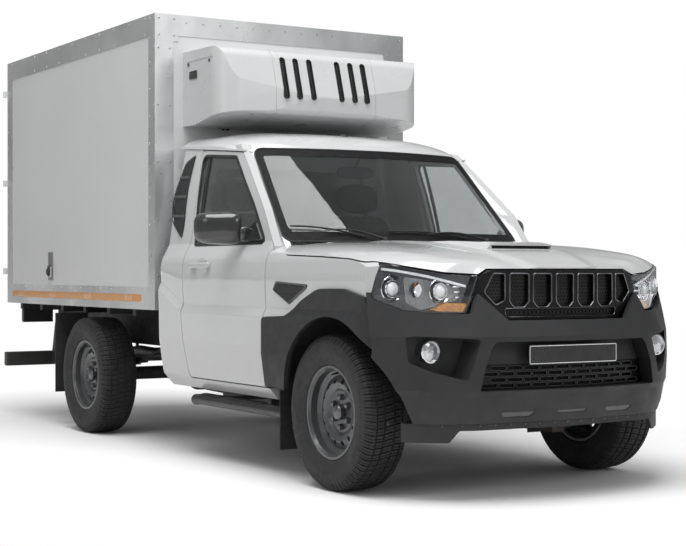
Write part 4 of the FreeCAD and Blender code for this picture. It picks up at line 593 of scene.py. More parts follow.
def make_finishes(look):
    """All finishes. Each row gives two shades, patch size, roughness range, grain and its depth in metres."""
    paint, panel, plastic = tuple(look.paint), tuple(look.panel), tuple(look.plastic)
    amber, tape = tuple(look.amber), tuple(look.tape)

    def make(name, *row, **extras):
        SHELF[name] = finish(name, *row, **extras)

    for name in ("cab_paint", "fender_paint"):
        make(name, paint, dim(paint, 0.965), 1.3, (0.16, 0.24), 900.0, 0.00002, dust=(0.35, 0.95, 0.22, DUST),
             speckle=(2600.0, 0.10, (0.9, 0.92, 0.95)), Coat_Weight=0.8, Coat_Roughness=0.04)
    cover(SHELF["fender_paint"], arch_mask, UNDERSEAL)
    make("box_panel", panel, dim(panel, 0.96), 0.9, (0.30, 0.42), 260.0, 0.00008, dust=(0.8, 1.5, 0.16, DUST),
         Coat_Weight=0.15, Coat_Roughness=0.2)
    make("unit_shell", dim(paint, 1.01), dim(paint, 0.95), 2.0, (0.26, 0.36), 500.0, 0.00005, Coat_Weight=0.3)
    # Galvanised trim: its wide light and dark patches are a painted reflection, the light and dark stretches that a
    # shiny rail shows. The fine speckle is the zinc's own spangle.
    make("galvanised", (0.64, 0.645, 0.65), (0.40, 0.405, 0.41), 1.6, (0.24, 0.38), 420.0, 0.00003,
         stretch=(1.0, 0.7, 0.7), speckle=(320.0, 0.10, (0.56, 0.57, 0.58)), Metallic=0.55)
    make("grained_plastic", plastic, dim(plastic, 1.22), 5.0, (0.52, 0.68), 1100.0, 0.00025, pebbled=True,
         dust=(0.25, 0.8, 0.03, DUST))
    make("gloss_black", (0.012, 0.012, 0.014), (0.02, 0.02, 0.022), 8.0, (0.14, 0.24), 300.0, 0.00003,
         Coat_Weight=0.5)
    make("mirror_cap", (0.026, 0.0265, 0.028), (0.034, 0.035, 0.036), 6.0, (0.16, 0.24), 600.0, 0.00002,
         Coat_Weight=0.8)
    make("step_black", (0.012, 0.012, 0.013), (0.018, 0.018, 0.019), 6.0, (0.34, 0.46), 300.0, 0.0001,
         dust=(0.2, 0.45, 0.08, DUST))
    make("dark_chrome", (0.20, 0.20, 0.21), (0.12, 0.12, 0.13), 20.0, (0.14, 0.26), 400.0, 0.00002, Metallic=1.0)
    make("bright_chrome", (0.78, 0.79, 0.80), (0.66, 0.67, 0.69), 25.0, (0.05, 0.12), 500.0, 0.00001, Metallic=1.0)
    make("tyre_rubber", (0.021, 0.021, 0.0215), (0.031, 0.031, 0.031), 12.0, (0.62, 0.82), 700.0, 0.00025,
         speckle=(300.0, 0.12, (0.035, 0.035, 0.035)))
    make("wheel_steel", (0.078, 0.080, 0.083), (0.105, 0.107, 0.111), 10.0, (0.28, 0.42), 500.0, 0.00006,
         Metallic=0.4, Coat_Weight=0.3)
    make("chassis_paint", (0.016, 0.016, 0.018), (0.03, 0.029, 0.028), 7.0, (0.45, 0.65), 160.0, 0.00015,
         dust=(0.15, 0.75, 0.12, DUST))
    make("cast_iron", (0.10, 0.095, 0.09), (0.15, 0.13, 0.11), 18.0, (0.6, 0.8), 220.0, 0.0004, Metallic=0.5)
    make("black_rubber", (0.018, 0.018, 0.019), (0.030, 0.030, 0.030), 9.0, (0.55, 0.75), 420.0, 0.00012)
    make("cabin_plastic", (0.030, 0.031, 0.034), (0.045, 0.046, 0.050), 6.0, (0.5, 0.65), 800.0, 0.0003, pebbled=True)
    make("lamp_shell", (0.10, 0.105, 0.11), (0.06, 0.06, 0.065), 12.0, (0.16, 0.28), 240.0, 0.00006, Metallic=0.7)
    make("silver_plating", (0.82, 0.83, 0.85), (0.62, 0.63, 0.66), 60.0, (0.06, 0.14), 260.0, 0.00015, Metallic=1.0)
    make("satin_insert", (0.055, 0.056, 0.058), (0.075, 0.076, 0.079), 12.0, (0.4, 0.55), 500.0, 0.0001)
    make("zinc", (0.58, 0.58, 0.57), (0.44, 0.44, 0.45), 80.0, (0.22, 0.36), 300.0, 0.00004, Metallic=0.95)
    make("nut_steel", (0.20, 0.20, 0.21), (0.13, 0.13, 0.135), 60.0, (0.3, 0.42), 300.0, 0.00004, Metallic=0.9)
    make("black_comb", (0.05, 0.05, 0.052), (0.032, 0.032, 0.034), 14.0, (0.24, 0.36), 400.0, 0.00004, Metallic=0.8)
    make("fog_glass", (0.80, 0.81, 0.82), (0.46, 0.47, 0.48), 34.0, (0.08, 0.18), 70.0, 0.003, pebbled=True,
         Metallic=0.55, Coat_Weight=1.0)
    make("screen_frit", (0.007, 0.007, 0.008), (0.012, 0.012, 0.013), 30.0, (0.55, 0.7), 200.0, 0.00001,
         Specular_IOR_Level=0.15)
    make("grille_black", (0.004, 0.004, 0.0045), (0.007, 0.007, 0.0075), 8.0, (0.26, 0.38), 300.0, 0.00003,
         Specular_IOR_Level=0.25)
    make("insert_grey", (0.13, 0.132, 0.136), (0.10, 0.102, 0.105), 12.0, (0.4, 0.5), 500.0, 0.0001)
    make("dull_plate", (0.21, 0.212, 0.215), (0.165, 0.167, 0.17), 5.0, (0.42, 0.56), 300.0, 0.00006, Metallic=0.3)
    make("vent_mesh", (0.022, 0.0225, 0.024), (0.034, 0.0345, 0.036), 12.0, (0.4, 0.55), 500.0, 0.0001)
    make("satin_silver", (0.30, 0.305, 0.31), (0.20, 0.205, 0.21), 18.0, (0.26, 0.4), 120.0, 0.0004, Metallic=0.7)
    make("light_guide", (0.86, 0.87, 0.88), (0.74, 0.76, 0.78), 40.0, (0.10, 0.2), 150.0, 0.0001)
    make("plate_blank", (0.018, 0.018, 0.020), (0.028, 0.028, 0.030), 20.0, (0.25, 0.38), 500.0, 0.00003)
    make("lamp_case", (0.34, 0.012, 0.01), (0.24, 0.008, 0.008), 30.0, (0.12, 0.22), 180.0, 0.0003)
    cover(SHELF["lamp_case"], front_mask, LAMP_BLACK)
    prisms("amber_lens", amber, dim(amber, 0.62), 0.16, 0.6, (1.0, 0.4, 1.0), 90.0, (0.0, 0.6), 0.0015)
    prisms("red_lens", (0.50, 0.012, 0.01), (0.22, 0.004, 0.004), 0.14, 0.6, (1.0, 1.0, 1.0), 110.0, (0.0, 0.6), 0.001)
    prisms("reflex_tape", tape, dim(tape, 0.55), 0.3, 0.4, (0.3, 1.0, 1.0), 170.0, (0.0, 0.18, 1.0, 0.0), 0.0003,
           "DISTANCE_TO_EDGE")
    see_through("tinted_glass", (0.66, 0.69, 0.69), 1.4)
    see_through("clear_lens", (0.96, 0.97, 0.98), 1.06, Coat_Weight=1.0, Coat_Roughness=0.01)
    woven("seat_cloth", tuple(look.cloth))


NODE_FINISH = {
    "cab_paint": ("door_left", "door_right", "cab_sides", "cab_roof", "cab_back", "bonnet"),
    "fender_paint": ("front_fenders",),
    "step_black": ("side_steps",),
    "box_panel": ("box_walls", "box_roof", "box_floor", "rear_door_left", "rear_door_right"),
    "unit_shell": ("cooling_unit",),
    "galvanised": ("box_trim", "rear_portal"),
    "grained_plastic": ("arch_flares", "front_bumper", "side_vents"),
    "mirror_cap": ("mirror_left", "mirror_right"),
    "grille_black": ("grille",),
    "cabin_plastic": ("dashboard", "cab_floor", "firewall_cowl"),
    "clear_lens": ("front_lamps",),
    "tinted_glass": ("cab_glass", "door_glass_left", "door_glass_right"),
    "tyre_rubber": tuple("tyre_" + w[0] for w in WHEELS),
    "wheel_steel": tuple("rim_" + w[0] for w in WHEELS),
    "chassis_paint": ("chassis_frame", "box_subframe", "underrun_bar", "leaf_springs", "rear_axle",
                      "driveline", "fuel_tank"),
    "cast_iron": ("knuckle_left", "knuckle_right", "engine_block", "front_arms"),
    "black_rubber": ("splash_guards",),
    "seat_cloth": ("seats",),
    "lamp_case": ("rear_lamps",),
}


# Pieces

def tyre_shape(x, y, side, depth):
    """Tyre: profile (across, radius) turned once round; radius less the tread depth in lengthwise and cross grooves."""
    half = rounded(((84.6, 208.8), (87.5, 220.9), (100.0, 227.0, 10.0), (119.0, 292.0, 60.0), (114.0, 336.0, 30.0),
                    (99.0, 360.5, 14.0), (78.0, 365.5)), 7)
    lanes = np.array([72.0, 71.5, 63.5, 63.0, 48.0, 32.0, 31.5, 23.5, 23.0, 8.0])
    cut = np.array([0.0, 1.0, 1.0, 0.0, 0.0, 0.0, 1.0, 1.0, 0.0, 0.0])
    run = np.concatenate((half, np.stack((lanes, 367.5 - 2.0 * (lanes / 78.0) ** 4), 1)))
    groove = np.concatenate((np.zeros(len(half)), cut))
    shoulder = np.clip((half[:, 1] - 326.0) / 20.0, 0.0, 1.0) * (half[:, 0] > 70.0)
    cross = np.concatenate((shoulder * 0.8, 1.0 - cut))
    run = np.concatenate((run, run[::-1] * np.array([-1.0, 1.0])))
    groove, cross = np.concatenate((groove, groove[::-1])), np.concatenate((cross, cross[::-1]))
    pitches = 72
    phase = np.array([0.0, 0.03, 0.20, 0.23, 0.62, 0.64, 0.70, 0.72])
    deep = np.array([0.0, 1.0, 1.0, 0.0, 0.0, 0.45, 0.45, 0.0])
    turn = ((np.arange(pitches)[:, None] + phase) / pitches).reshape(-1)
    cut_round = np.tile(deep, pitches)
    lean = 0.35 * np.sin(run[:, 0] / 99.0 * 2.2) / pitches
    angle = 2.0 * np.pi * (turn[:, None] + lean)
    drop = np.maximum(groove[None], cut_round[:, None] * cross[None]) * depth
    ribs = 0.7 * (np.abs(run[:, 1] - 240.0) < 1.8) + 0.7 * (np.abs(run[:, 1] - 316.0) < 2.6)
    radius = run[:, 1][None] - drop
    across = run[:, 0] + np.sign(run[:, 0]) * ribs
    across = np.broadcast_to(across, radius.shape) - np.sign(run[:, 0]) * drop * 0.6 * (run[:, 1] < 362.0)
    points = np.stack((x + side * across, y + radius * np.cos(angle), TYRE_R + radius * np.sin(angle)), -1)
    return points.reshape(-1, 3), net(len(turn), len(run), True, True)


def make_tyres(look):
    """A tyre on each wheel in place of the plain one."""
    for label, side, y in WHEELS:
        piece = put("tread_" + label, tyre_shape(side * HALF_TRACK, y, side, look.tread / MM), "tyre_rubber",
                    "wheel_" + label, 40.0)
        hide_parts("tyre_" + label)


def make_wheel_details():
    """Hexagon nuts turned in six steps, a centre cap with a domed end, and the valve."""
    for label, side, y in WHEELS:
        x = side * HALF_TRACK
        turns = (np.arange(6) + 0.5) * np.pi / 3.0
        places = np.stack((np.zeros(6), 69.85 * np.cos(turns), 69.85 * np.sin(turns)), 1) + (x, y, TYRE_R)
        nut = turned(((29.0, 0.0), (29.0, 15.5), (31.0, 17.0), (50.0, 13.5), (53.0, 9.0), (55.0, 5.0), (55.0, 0.0)),
                     (0, 0, 0), "x", 6, side)
        cap = turned(((30.5, 0.0), (30.5, 37.5), (57.0, 36.0), (64.0, 30.0), (67.5, 18.0), (68.5, 0.0)), (x, y, TYRE_R),
                     "x", 40, side)
        put("wheel_nuts_" + label, [copies(nut, places), cap], "nut_steel", "wheel_" + label, 30.0)
        stem = np.array([[x + side * 52.0, y, TYRE_R + 186.0], [x + side * 70.0, y, TYRE_R + 181.0],
                         [x + side * 88.0, y, TYRE_R + 178.0]])
        put("valve_" + label, rod_along(stem, (6.0, 4.0, 4.6), 10, False, (0.0, 1.0, 0.0)), "black_rubber",
            "wheel_" + label)


def lamp_unit(x, y, z, size, side):
    """Projector: an open reflector bowl, a ring and a ball lens, each turned about the lamp's own fore-and-aft line."""
    bowl = turned(((0.0, size), (3.0, size + 3.0), (22.0, size * 0.72), (27.0, 0.0), (24.0, 0.0), (19.0, size * 0.64)),
                  (side * x, y, z), "y", 36)
    ring = turned(((1.0, size * 0.70), (-3.0, size * 0.66), (-3.0, size * 0.58), (4.0, size * 0.56)),
                  (side * x, y, z), "y", 36)
    t = np.linspace(0.0, np.pi / 2, 8)
    ball = turned(np.concatenate((np.stack((6.0 - size * 0.42 * np.sin(t[::-1]), size * 0.56 * np.cos(t[::-1])), 1),
                                  [(12.0, size * 0.56), (12.0, 0.0)])), (side * x, y, z), "y", 30)
    return bowl, ring, ball


def make_headlamps():
    """Housing behind the clear lens: walls along the lamp outline, a back that follows the nose, and the lights."""
    line = even(rounded(LAMP_LINE), 9.0)
    inner = moved_out(line, -3.0)
    slim = moved_out(line, -7.0)
    for label, side in SIDES:
        place = lambda depth: (lambda p: np.stack((p[:, 0] * side, nose_y(p[:, 0]) + depth, p[:, 1]), 1))
        rim = band(inner, slim, place(9.0), place(60.0))
        back = plate(inner, place(60.0), place(64.0))
        put("lamp_housing_" + label, [rim, back], "lamp_shell")
        shiny, clear = [], []
        for x, z, size in ((771.0, 951.0, 57.0), (600.0, 940.0, 55.0)):
            bowl, ring, ball = lamp_unit(x, nose_at(x) + 30.0, z, size, side)
            shiny += [bowl, ring]
            clear.append(ball)
        shiny.append(turned(((0.0, 34.0), (14.0, 20.0), (18.0, 0.0), (16.0, 0.0), (11.0, 17.0)),
                            (side * 690.0, nose_at(690.0) + 34.0, 946.0), "y", 18))
        front = nose_at(530.0)
        for k in range(3):
            z = 960.0 - 24.0 * k
            shiny.append(bar(*span(side, 512.0 - 2.0 * k, 556.0 - 6.0 * k), front + 26.0, front + 44.0,
                             z - 4.0, z + 4.0, 1.6))
        tray = even(rounded(((664.0, 856.0, 8.0), (520.0, 900.0, 10.0), (508.0, 954.0, 10.0), (640.0, 990.0, 20.0),
                             (724.0, 1006.0, 10.0), (716.0, 890.0, 14.0))), 10.0)
        put("lamp_tray_" + label, plate(tray, place(54.0), place(57.0)), "satin_silver")
        put("lamp_reflectors_" + label, shiny, "silver_plating")
        put("lamp_lenses_" + label, clear, "light_guide")
        guide = even(rounded(((812.0, 1040.0), (760.0, 1032.0, 200.0), (650.0, 1006.0, 300.0), (500.0, 962.0))),
                     14.0, False)
        route = np.stack((side * guide[:, 0], nose_y(guide[:, 0]) + 24.0, guide[:, 1]), 1)
        put("light_guide_" + label, rod_along(route, 6.5, 10), "light_guide")
        corner = even(rounded(((642.0, 852.0, 6.0), (589.0, 888.0, 20.0), (500.0, 886.0, 6.0),
                               (514.0, 849.0, 6.0))), 7.0)
        put("turn_lamp_" + label, plate(corner, place(14.0), place(50.0)), "amber_lens")


def make_grille(look):
    """Round beads along each slot's outline on the nose, honeycomb behind, a mesh strip, and a dark backing behind it
    and a dark skirt below it that are painted shade, standing in for the shade in the space behind the strip and in the
    slit under the grille.
    """
    slots = []
    for x in (-252.0, -128.0, 0.0, 128.0, 252.0):
        slots.append(((x - 50.0, 1020.0, 8.0), (x + 50.0, 1020.0, 8.0), (x + 50.0, 892.0, 18.0),
                      (x + 26.0, 868.0, 12.0), (x - 26.0, 868.0, 12.0), (x - 50.0, 892.0, 18.0)))
    slots.append(((326.0, 1020.0, 8.0), (386.0, 1020.0, 8.0), (428.0, 935.0, 14.0), (372.0, 878.0, 14.0),
                  (326.0, 900.0, 14.0)))
    slots.append([(-p[0],) + tuple(p[1:]) for p in slots[-1]][::-1])
    frames, nets = [], []
    for slot_line in slots:
        line = even(rounded(slot_line), 8.0)
        frames.append(bead(moved_out(line, 0.5), on_nose(2.0), 4.2, 8, (0.0, 1.0, 0.0)))
        nets.append(cells(line, look.comb / MM, 2.2, on_nose(20.0), on_nose(24.5)))
    strip = even(rounded(((330.0, 862.0, 8.0), (318.0, 824.0, 8.0), (-318.0, 824.0, 8.0), (-330.0, 862.0, 8.0))), 10.0)
    nets.append(cells(strip, look.comb / MM * 1.25, 2.2, on_nose(12.0), on_nose(17.0)))
    frames.append(bead(strip, on_nose(2.5), 2.6, 8, (0.0, 1.0, 0.0)))
    put("grille_frames", frames, "dark_chrome")
    put("grille_comb", nets, "black_comb")
    # Painted shade: a dark skirt closes the slit under the grille, and a dark plate sits behind the mesh strip, where
    # these spaces would only be in shade.
    skirt = slab(-430.0, -32.0, 430.0, 60.0, 0.0, 20.0)
    level = lambda z: (lambda p: np.stack((p[:, 0], nose_y(p[:, 0]) + p[:, 1], np.full(len(p), z)), 1))
    put("grille_shade_skirt", plate(skirt, level(796.0), level(800.0)), "black_rubber")
    put("grille_shade_backing", plate(moved_out(strip, 5.0), on_nose(38.0), on_nose(41.0)), "black_rubber")


def make_bumper_details():
    """Fog lamps, the blank number plate with its bright edge, apron inserts, brick mesh edges and guard bolts."""
    chrome, lens = [], []
    for _, side in SIDES:
        spot = (side * 670.0, -2469.0, 672.0)
        chrome.append(turned(((0.5, 48.0), (-4.0, 51.5), (-8.0, 50.0), (-8.5, 45.0), (0.5, 43.0)), spot, "y", 40))
        t = np.linspace(0.0, 1.0, 8)
        dome = np.stack((-7.0 * np.cos(t[::-1] * np.pi / 2) - 1.0, 44.0 * t[::-1]), 1)[::-1]
        lens.append(turned(np.concatenate((dome, [(1.2, 44.0), (1.2, 0.0)])), spot, "y", 36))
    put("fog_rims", chrome, "silver_plating")
    put("fog_lenses", lens, "fog_glass")
    line = slab(-258.0, 611.0, 258.0, 699.0, 8.0, 10.0)
    put("number_plate", plate(line, flat_y(PLATE_FACE - 1.2), flat_y(PLATE_FACE - 0.1)), "plate_blank")
    edge = band(moved_out(line, -3.0), moved_out(line, -6.0), flat_y(PLATE_FACE - 2.0), flat_y(PLATE_FACE - 0.3))
    put("number_plate_edge", edge, "bright_chrome")
    inserts = []
    for x in (-295.0, 0.0, 295.0):
        line = even(rounded(((x - 96.0, 401.0, 5.0), (x + 96.0, 401.0, 5.0), (x + 65.0, 378.0, 5.0),
                             (x - 65.0, 378.0, 5.0))), 8.0)
        inserts.append(plate(line, on_bumper(4.0), on_bumper(9.0)))
    put("apron_inserts", inserts, "insert_grey")
    bricks = []
    for row, z in enumerate((506.0, 532.0, 558.0, 584.0)):
        for i in range(-6, 7):
            x = i * 84.0 + (42.0 if row % 2 else 0.0)
            if abs(x) < 462.0:
                line = slab(x - 37.0, z + 3.0, x + 37.0, z + 22.0, 3.0, 9.0)
                bricks.append(bead(line, on_bumper(73.5), 1.6, 6, (0.0, 1.0, 0.0)))
    put("mesh_edges", bricks, "satin_insert")
    # Painted shade: a dark plate behind the brick mesh, where the space behind the mesh would only be in shade.
    port = even(rounded(((-470.0, 498.0, 10.0), (470.0, 498.0, 10.0), (486.0, 610.0, 10.0),
                         (-486.0, 610.0, 10.0))), 20.0)
    put("mesh_shade_backing", plate(port, on_bumper(112.0), on_bumper(115.0)), "black_rubber")
    bolt = turned(((0.6, 0.0), (0.6, 7.0), (-1.6, 6.4), (-3.0, 3.6), (-3.4, 0.0)), (0, 0, 0), "y", 12)
    spots = np.array([(x, 344.0) for x in np.linspace(-780.0, 780.0, 21)])
    plan = rounded(((-850.0, -2296.0, 60.0), (-558.0, -2560.0, 400.0), (0.0, -2612.0, 1600.0), (558.0, -2560.0, 400.0),
                    (850.0, -2296.0, 60.0)), 20)
    levels = np.interp(spots[:, 0], plan[:, 0], plan[:, 1])
    put("guard_bolts", copies(bolt, np.stack((spots[:, 0], levels, spots[:, 1]), 1)), "satin_insert")


def make_bonnet_details():
    """Honeycomb in the scoop mouth, with a plate behind it."""
    mouth = even(rounded(((176.0, 1138.0, 5.0), (181.0, 1151.0, 5.0), (-181.0, 1151.0, 5.0),
                          (-176.0, 1138.0, 5.0))), 6.0)
    shade = cells(mouth, 9.0, 1.2, flat_y(-2252.0), flat_y(-2247.0))
    put("scoop_mesh", [shade, plate(mouth, flat_y(-2240.0), flat_y(-2238.0))], "gloss_black", "bonnet")


def make_screen_details():
    """Black border printed round the screen, rubber edge, wipers, the inside mirror and the roof aerial."""
    line = even(rounded(SCREEN_LINE, 10), 18.0)
    deep = np.where(line[:, 1] < 1260.0, 52.0, 40.0)
    shift = moved_out(line, -1.0) - line
    inner = line + shift * deep[:, None]
    put("screen_border", band(line + shift * 2.0, inner, on_screen(3.2), on_screen(3.7)), "screen_frit")
    put("screen_seal", bead(line, on_screen(3.0), 5.0, 8, (0.0, 1.0, 0.0)), "black_rubber")
    arms = []
    for pivot, tip in (((430.0, 1196.0), (-190.0, 1236.0)), ((-250.0, 1194.0), (-690.0, 1262.0))):
        a, b = np.array(pivot), np.array(tip)
        t = np.linspace(0.0, 1.0, 24)[:, None]
        blade = (a + (b - a) * (0.22 + 0.78 * t)) + np.array([0.0, 14.0]) * np.sin(t * np.pi)
        arm = (a + (b - a) * (0.66 * t)) + np.array([0.0, 34.0]) * np.sin(t * np.pi) * 0.7
        arms.append(rod_along(on_screen(-9.0)(blade), 4.2, 8))
        arms.append(rod_along(on_screen(-20.0)(arm), 6.0 - 2.6 * t[:, 0], 8))
        arms.append(turned(((0.0, 0.0), (0.0, 15.0), (20.0, 13.0), (26.0, 8.0), (27.0, 0.0)),
                           on_screen(-22.0)(a[None])[0] - (0, 0, 14), "z", 18))
    put("wipers", arms, "black_rubber")
    t = np.linspace(-1.0, 1.0, 25)
    width = 118.0 * signed_power(t, 0.9)
    lift = 34.0 * (1.0 - np.abs(t) ** 3.5) ** 0.5
    upper = np.stack((width, lift), 1)
    outline = even(np.concatenate((upper, upper[::-1][1:-1] * (1.0, -1.0))), 7.0) + (0.0, 1580.0)
    mirror = plate(outline, flat_y(-780.0), flat_y(-758.0))
    stalk = rod_along(np.array([[0.0, -778.0, 1600.0], [0.0, -800.0, 1650.0], [0.0, -812.0, 1676.0]]), 8.0, 10,
                      False, (1.0, 0.0, 0.0))
    put("inside_mirror", [mirror, stalk], "cabin_plastic")
    aerial = turned(((0.0, 0.0), (0.0, 26.0), (9.0, 22.0), (16.0, 12.0), (18.0, 0.0)), (0.0, -640.0, 1791.0), "z", 24)
    put("aerial_base", aerial, "black_rubber")


def make_door_details():
    """Window seals along the glass line, a run channel, lock, mirror glass, and the inner trim: a grid that follows the
    cab side, whose armrest is a bell curve in height that fades out at both ends."""
    line = even(rounded(WINDOW_LINE, 8), 16.0)
    for label, side in SIDES:
        body = "door_" + label
        seal = band(moved_out(line, 9.0), moved_out(line, -7.0), on_side(side, -2.4), on_side(side, 6.5))
        post = rounded(((-468.0, 1178.0), (-440.0, 1178.0), (-388.0, 1668.0), (-414.0, 1664.0)))
        channel = plate(even(post, 12.0), on_side(side, 3.0), on_side(side, 7.6))
        put("window_seal_" + label, [seal, channel], "black_rubber", body)
        lock = turned(((0.0, 0.0), (0.0, 9.0), (2.0, 8.0), (2.4, 4.0), (1.2, 3.0), (1.2, 0.0)),
                      (side * 869.5, -432.0, 1040.0), "x", 20, side)
        put("door_lock_" + label, lock, "bright_chrome", body)
        high, wide = 14, 20
        rows = np.linspace(500.0, 1150.0, high)
        rear = np.interp(rows, (500.0, 800.0, 1150.0), (-440.0, -398.0, -385.0))
        y = -1285.0 + (rear[:, None] + 1285.0) * np.linspace(0.0, 1.0, wide)
        z = np.broadcast_to(rows[:, None], y.shape)
        fade = np.clip((y + 1120.0) / 60.0, 0, 1) * np.clip((-470.0 - y) / 60.0, 0, 1)
        swell = 34.0 * np.exp(-((z - 860.0) / 34.0) ** 2) * fade
        inner_x = side_x(z.ravel()).reshape(z.shape) - 48.6
        layers = np.stack([np.stack((side * (inner_x - k), y, z), -1) for k in (0.0, 1.0)])
        layers[1, ..., 0] -= side * (5.0 + swell)
        front = grid(high, wide)
        count = high * wide
        rim = np.concatenate((np.arange(wide), np.arange(1, high) * wide + wide - 1,
                              (high - 1) * wide + np.arange(wide - 2, -1, -1), np.arange(high - 2, 0, -1) * wide))
        edge = np.stack((rim, np.roll(rim, -1), np.roll(rim, -1) + count, rim + count), 1)
        faces = flat(np.concatenate((front, front[:, ::-1] + count, edge)))
        put("door_trim_" + label, (layers.reshape(-1, 3), faces), "cabin_plastic", body)
        pane = even(rounded(((0.0, 0.0, 20.0), (196.0, -8.0, 24.0), (208.0, 118.0, 26.0), (2.0, 124.0, 20.0))), 9.0)
        base = np.array([side * 846.0, -984.0, 1198.0])
        lie = lambda lift: (lambda p: base + np.stack((side * p[:, 0], p[:, 0] * MIRROR_SWEEP + lift, p[:, 1]), 1))
        put("mirror_glass_" + label, plate(pane, lie(1.0), lie(-2.0)), "bright_chrome", body)


def make_mirrors():
    """Mirror heads: half sizes times signed powers of the sphere's angles, sheared along the swept-back glass plane and
    flat behind it; an arm, and a foot that lies on the window's front corner."""
    u, v = globe(72, 37)
    ring = signed_power(np.cos(v), 0.62)
    a, c, b = ring * signed_power(np.cos(u), 0.5), ring * signed_power(np.sin(u), 0.5), signed_power(np.sin(v), 0.8)
    x = 954.0 + 110.0 * a
    depth = np.where(b > 0.0, 80.0 * b, 1.5 * b)
    z = 1254.0 + 85.0 * c * (1.0 - 0.08 * a)
    y = -989.0 + (x - 842.0) * MIRROR_SWEEP - depth
    head = np.stack((x, y, z), -1).reshape(-1, 3), net(72, 37, True, False)
    corner = even(rounded(((-1212.0, 1186.0, 8.0), (-1108.0, 1298.0, 22.0), (-988.0, 1186.0, 12.0))), 10.0)
    for label, side in SIDES:
        arm = bar(808.0, 872.0, -1052.0, -1000.0, 1192.0, 1262.0, 20.0)
        shape = together(head, arm) if side > 0 else mirrored(together(head, arm))
        foot = together(plate(corner, on_side(side, -0.5), on_side(side, -9.0)),
                        plate(moved_out(corner, -5.0), on_side(side, -8.5), on_side(side, -15.0)))
        piece = put("mirror_head_" + label, [shape, foot], "mirror_cap", "door_" + label)
        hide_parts("mirror_" + label)


def make_vents():
    """Frame and bars of the leaf-shaped quarter vent; frame and staggered studs of the fender vent."""
    frames, bars, studs = [], [], []
    leaf = even(rounded(LEAF_LINE, 8), 12.0)
    inner = moved_out(leaf, -13.0)
    grid_y, grid_z = np.meshgrid(np.arange(-1700.0, -1400.0, 22.0), np.arange(880.0, 975.0, 19.0), indexing="ij")
    grid_y = grid_y + (np.arange(grid_y.shape[1]) % 2)[None] * 11.0
    spots = np.stack((grid_y, grid_z), -1).reshape(-1, 2)
    fender = rounded(((-1398.0, 937.0, 8.0), (-1433.0, 980.0, 8.0), (-1742.0, 966.0, 6.0), (-1724.0, 946.0, 6.0),
                      (-1555.0, 869.0, 10.0)))
    spots = spots[inside(spots, moved_out(even(fender, 10.0), -14.0))]
    for _, side in SIDES:
        frames.append(hoop([on_side(side, -4.0)(leaf), on_side(side, -9.0)(moved_out(leaf, -4.0)),
                            on_side(side, -9.0)(moved_out(leaf, -9.0)), on_side(side, -3.6)(inner)]))
        for z, y0, y1 in ((1560.0, -216.0, -92.0), (1450.0, -222.0, -66.0), (1340.0, -236.0, -84.0)):
            route = np.stack((np.linspace(y0, y1, 8), np.linspace(z, z + 4.0, 8)), 1)
            bars.append(rod_along(on_side(side, -3.0)(route), 9.0, 10, False, (0.0, 0.0, 1.0)))
        stud = turned(((0.0, 0.0), (0.0, 5.6), (2.0, 5.0), (2.8, 2.6), (2.8, 0.0)), (0, 0, 0), "x", 8, side)
        studs.append(copies(stud, on_side(side, -4.0)(spots)))
        edge = even(fender, 9.0)
        frames.append(hoop([on_side(side, -3.6)(edge), on_side(side, -7.0)(moved_out(edge, -3.0)),
                            on_side(side, -7.0)(moved_out(edge, -7.0)), on_side(side, -3.6)(moved_out(edge, -10.0))]))
    put("vent_frames", frames, "gloss_black")
    put("vent_bars", bars, "satin_insert")
    put("vent_studs", studs, "vent_mesh")


def make_rivets(look):
    """Domed rivets in rows along every sheet trim of the box."""
    dome = ((0.0, 0.0), (0.0, 7.0), (1.6, 6.4), (3.0, 3.9), (3.4, 0.0))
    side_rivet = {side: turned(dome, (0, 0, 0), "x", 10, side) for _, side in SIDES}
    front_rivet, rear_rivet = turned(dome, (0, 0, 0), "y", 10, -1), turned(dome, (0, 0, 0), "y", 10, 1)
    pitch = look.rivet_pitch / MM
    shapes = []
    for _, side in SIDES:
        rows = []
        for z, step in ((2410.0, 2.2), (2504.0, 2.2), (922.0, 1.6)):
            along = np.arange(180.0, 2560.0, pitch * step)
            rows.append(np.stack((along, np.full(len(along), z)), 1))
        for y, step in ((52.0, 3.2), (114.0, 1.5), (2494.0, 3.2), (2568.0, 1.1)):
            up = np.arange(985.0, 2350.0, pitch * step)
            rows.append(np.stack((np.full(len(up), y), up), 1))
        rows.append(np.array([(y, z) for y in (52.0, 112.0) for z in (2385.0, 2500.0)]))
        shapes.append(copies(side_rivet[side], flat_x(side * TRIM_SIDE)(np.concatenate(rows))))
        face = [(side * x, z) for x in (767.0, 840.0) for z in np.arange(1000.0, 2340.0, 331.0)]
        face += [(side * x, z) for x in (739.0, 835.0) for z in (2399.0, 2496.0)]
        shapes.append(copies(front_rivet, flat_y(TRIM_FRONT)(np.array(face))))
        stile = np.arange(920.0, 2430.0, pitch * 1.6)
        shapes.append(copies(rear_rivet, flat_y(REAR_FACE)(np.stack((np.full(len(stile), side * 834.0), stile), 1))))
    across = np.arange(-660.0, 661.0, 110.0)
    shapes.append(copies(front_rivet, flat_y(TRIM_FRONT)(np.stack((across, np.full(len(across), 2480.0)), 1))))
    put("box_rivets", shapes, "zinc")


def make_tape():
    """Reflective tape along the bottom rails, with brighter blocks on it."""
    strips, blocks = [], []
    for _, side in SIDES:
        lay = lambda lift: flat_x(side * (TRIM_SIDE + lift))
        strips.append(plate(slab(228.0, 850.0, 2474.0, 894.0, 4.0, 40.0), lay(0.1), lay(0.7)))
        for y in (420.0, 1050.0, 1680.0, 2300.0):
            blocks.append(plate(slab(y - 60.0, 853.0, y + 60.0, 891.0, 3.0, 12.0), lay(0.8), lay(1.5)))
    put("reflex_tape", strips, "reflex_tape")
    put("side_reflectors", blocks, "amber_lens")


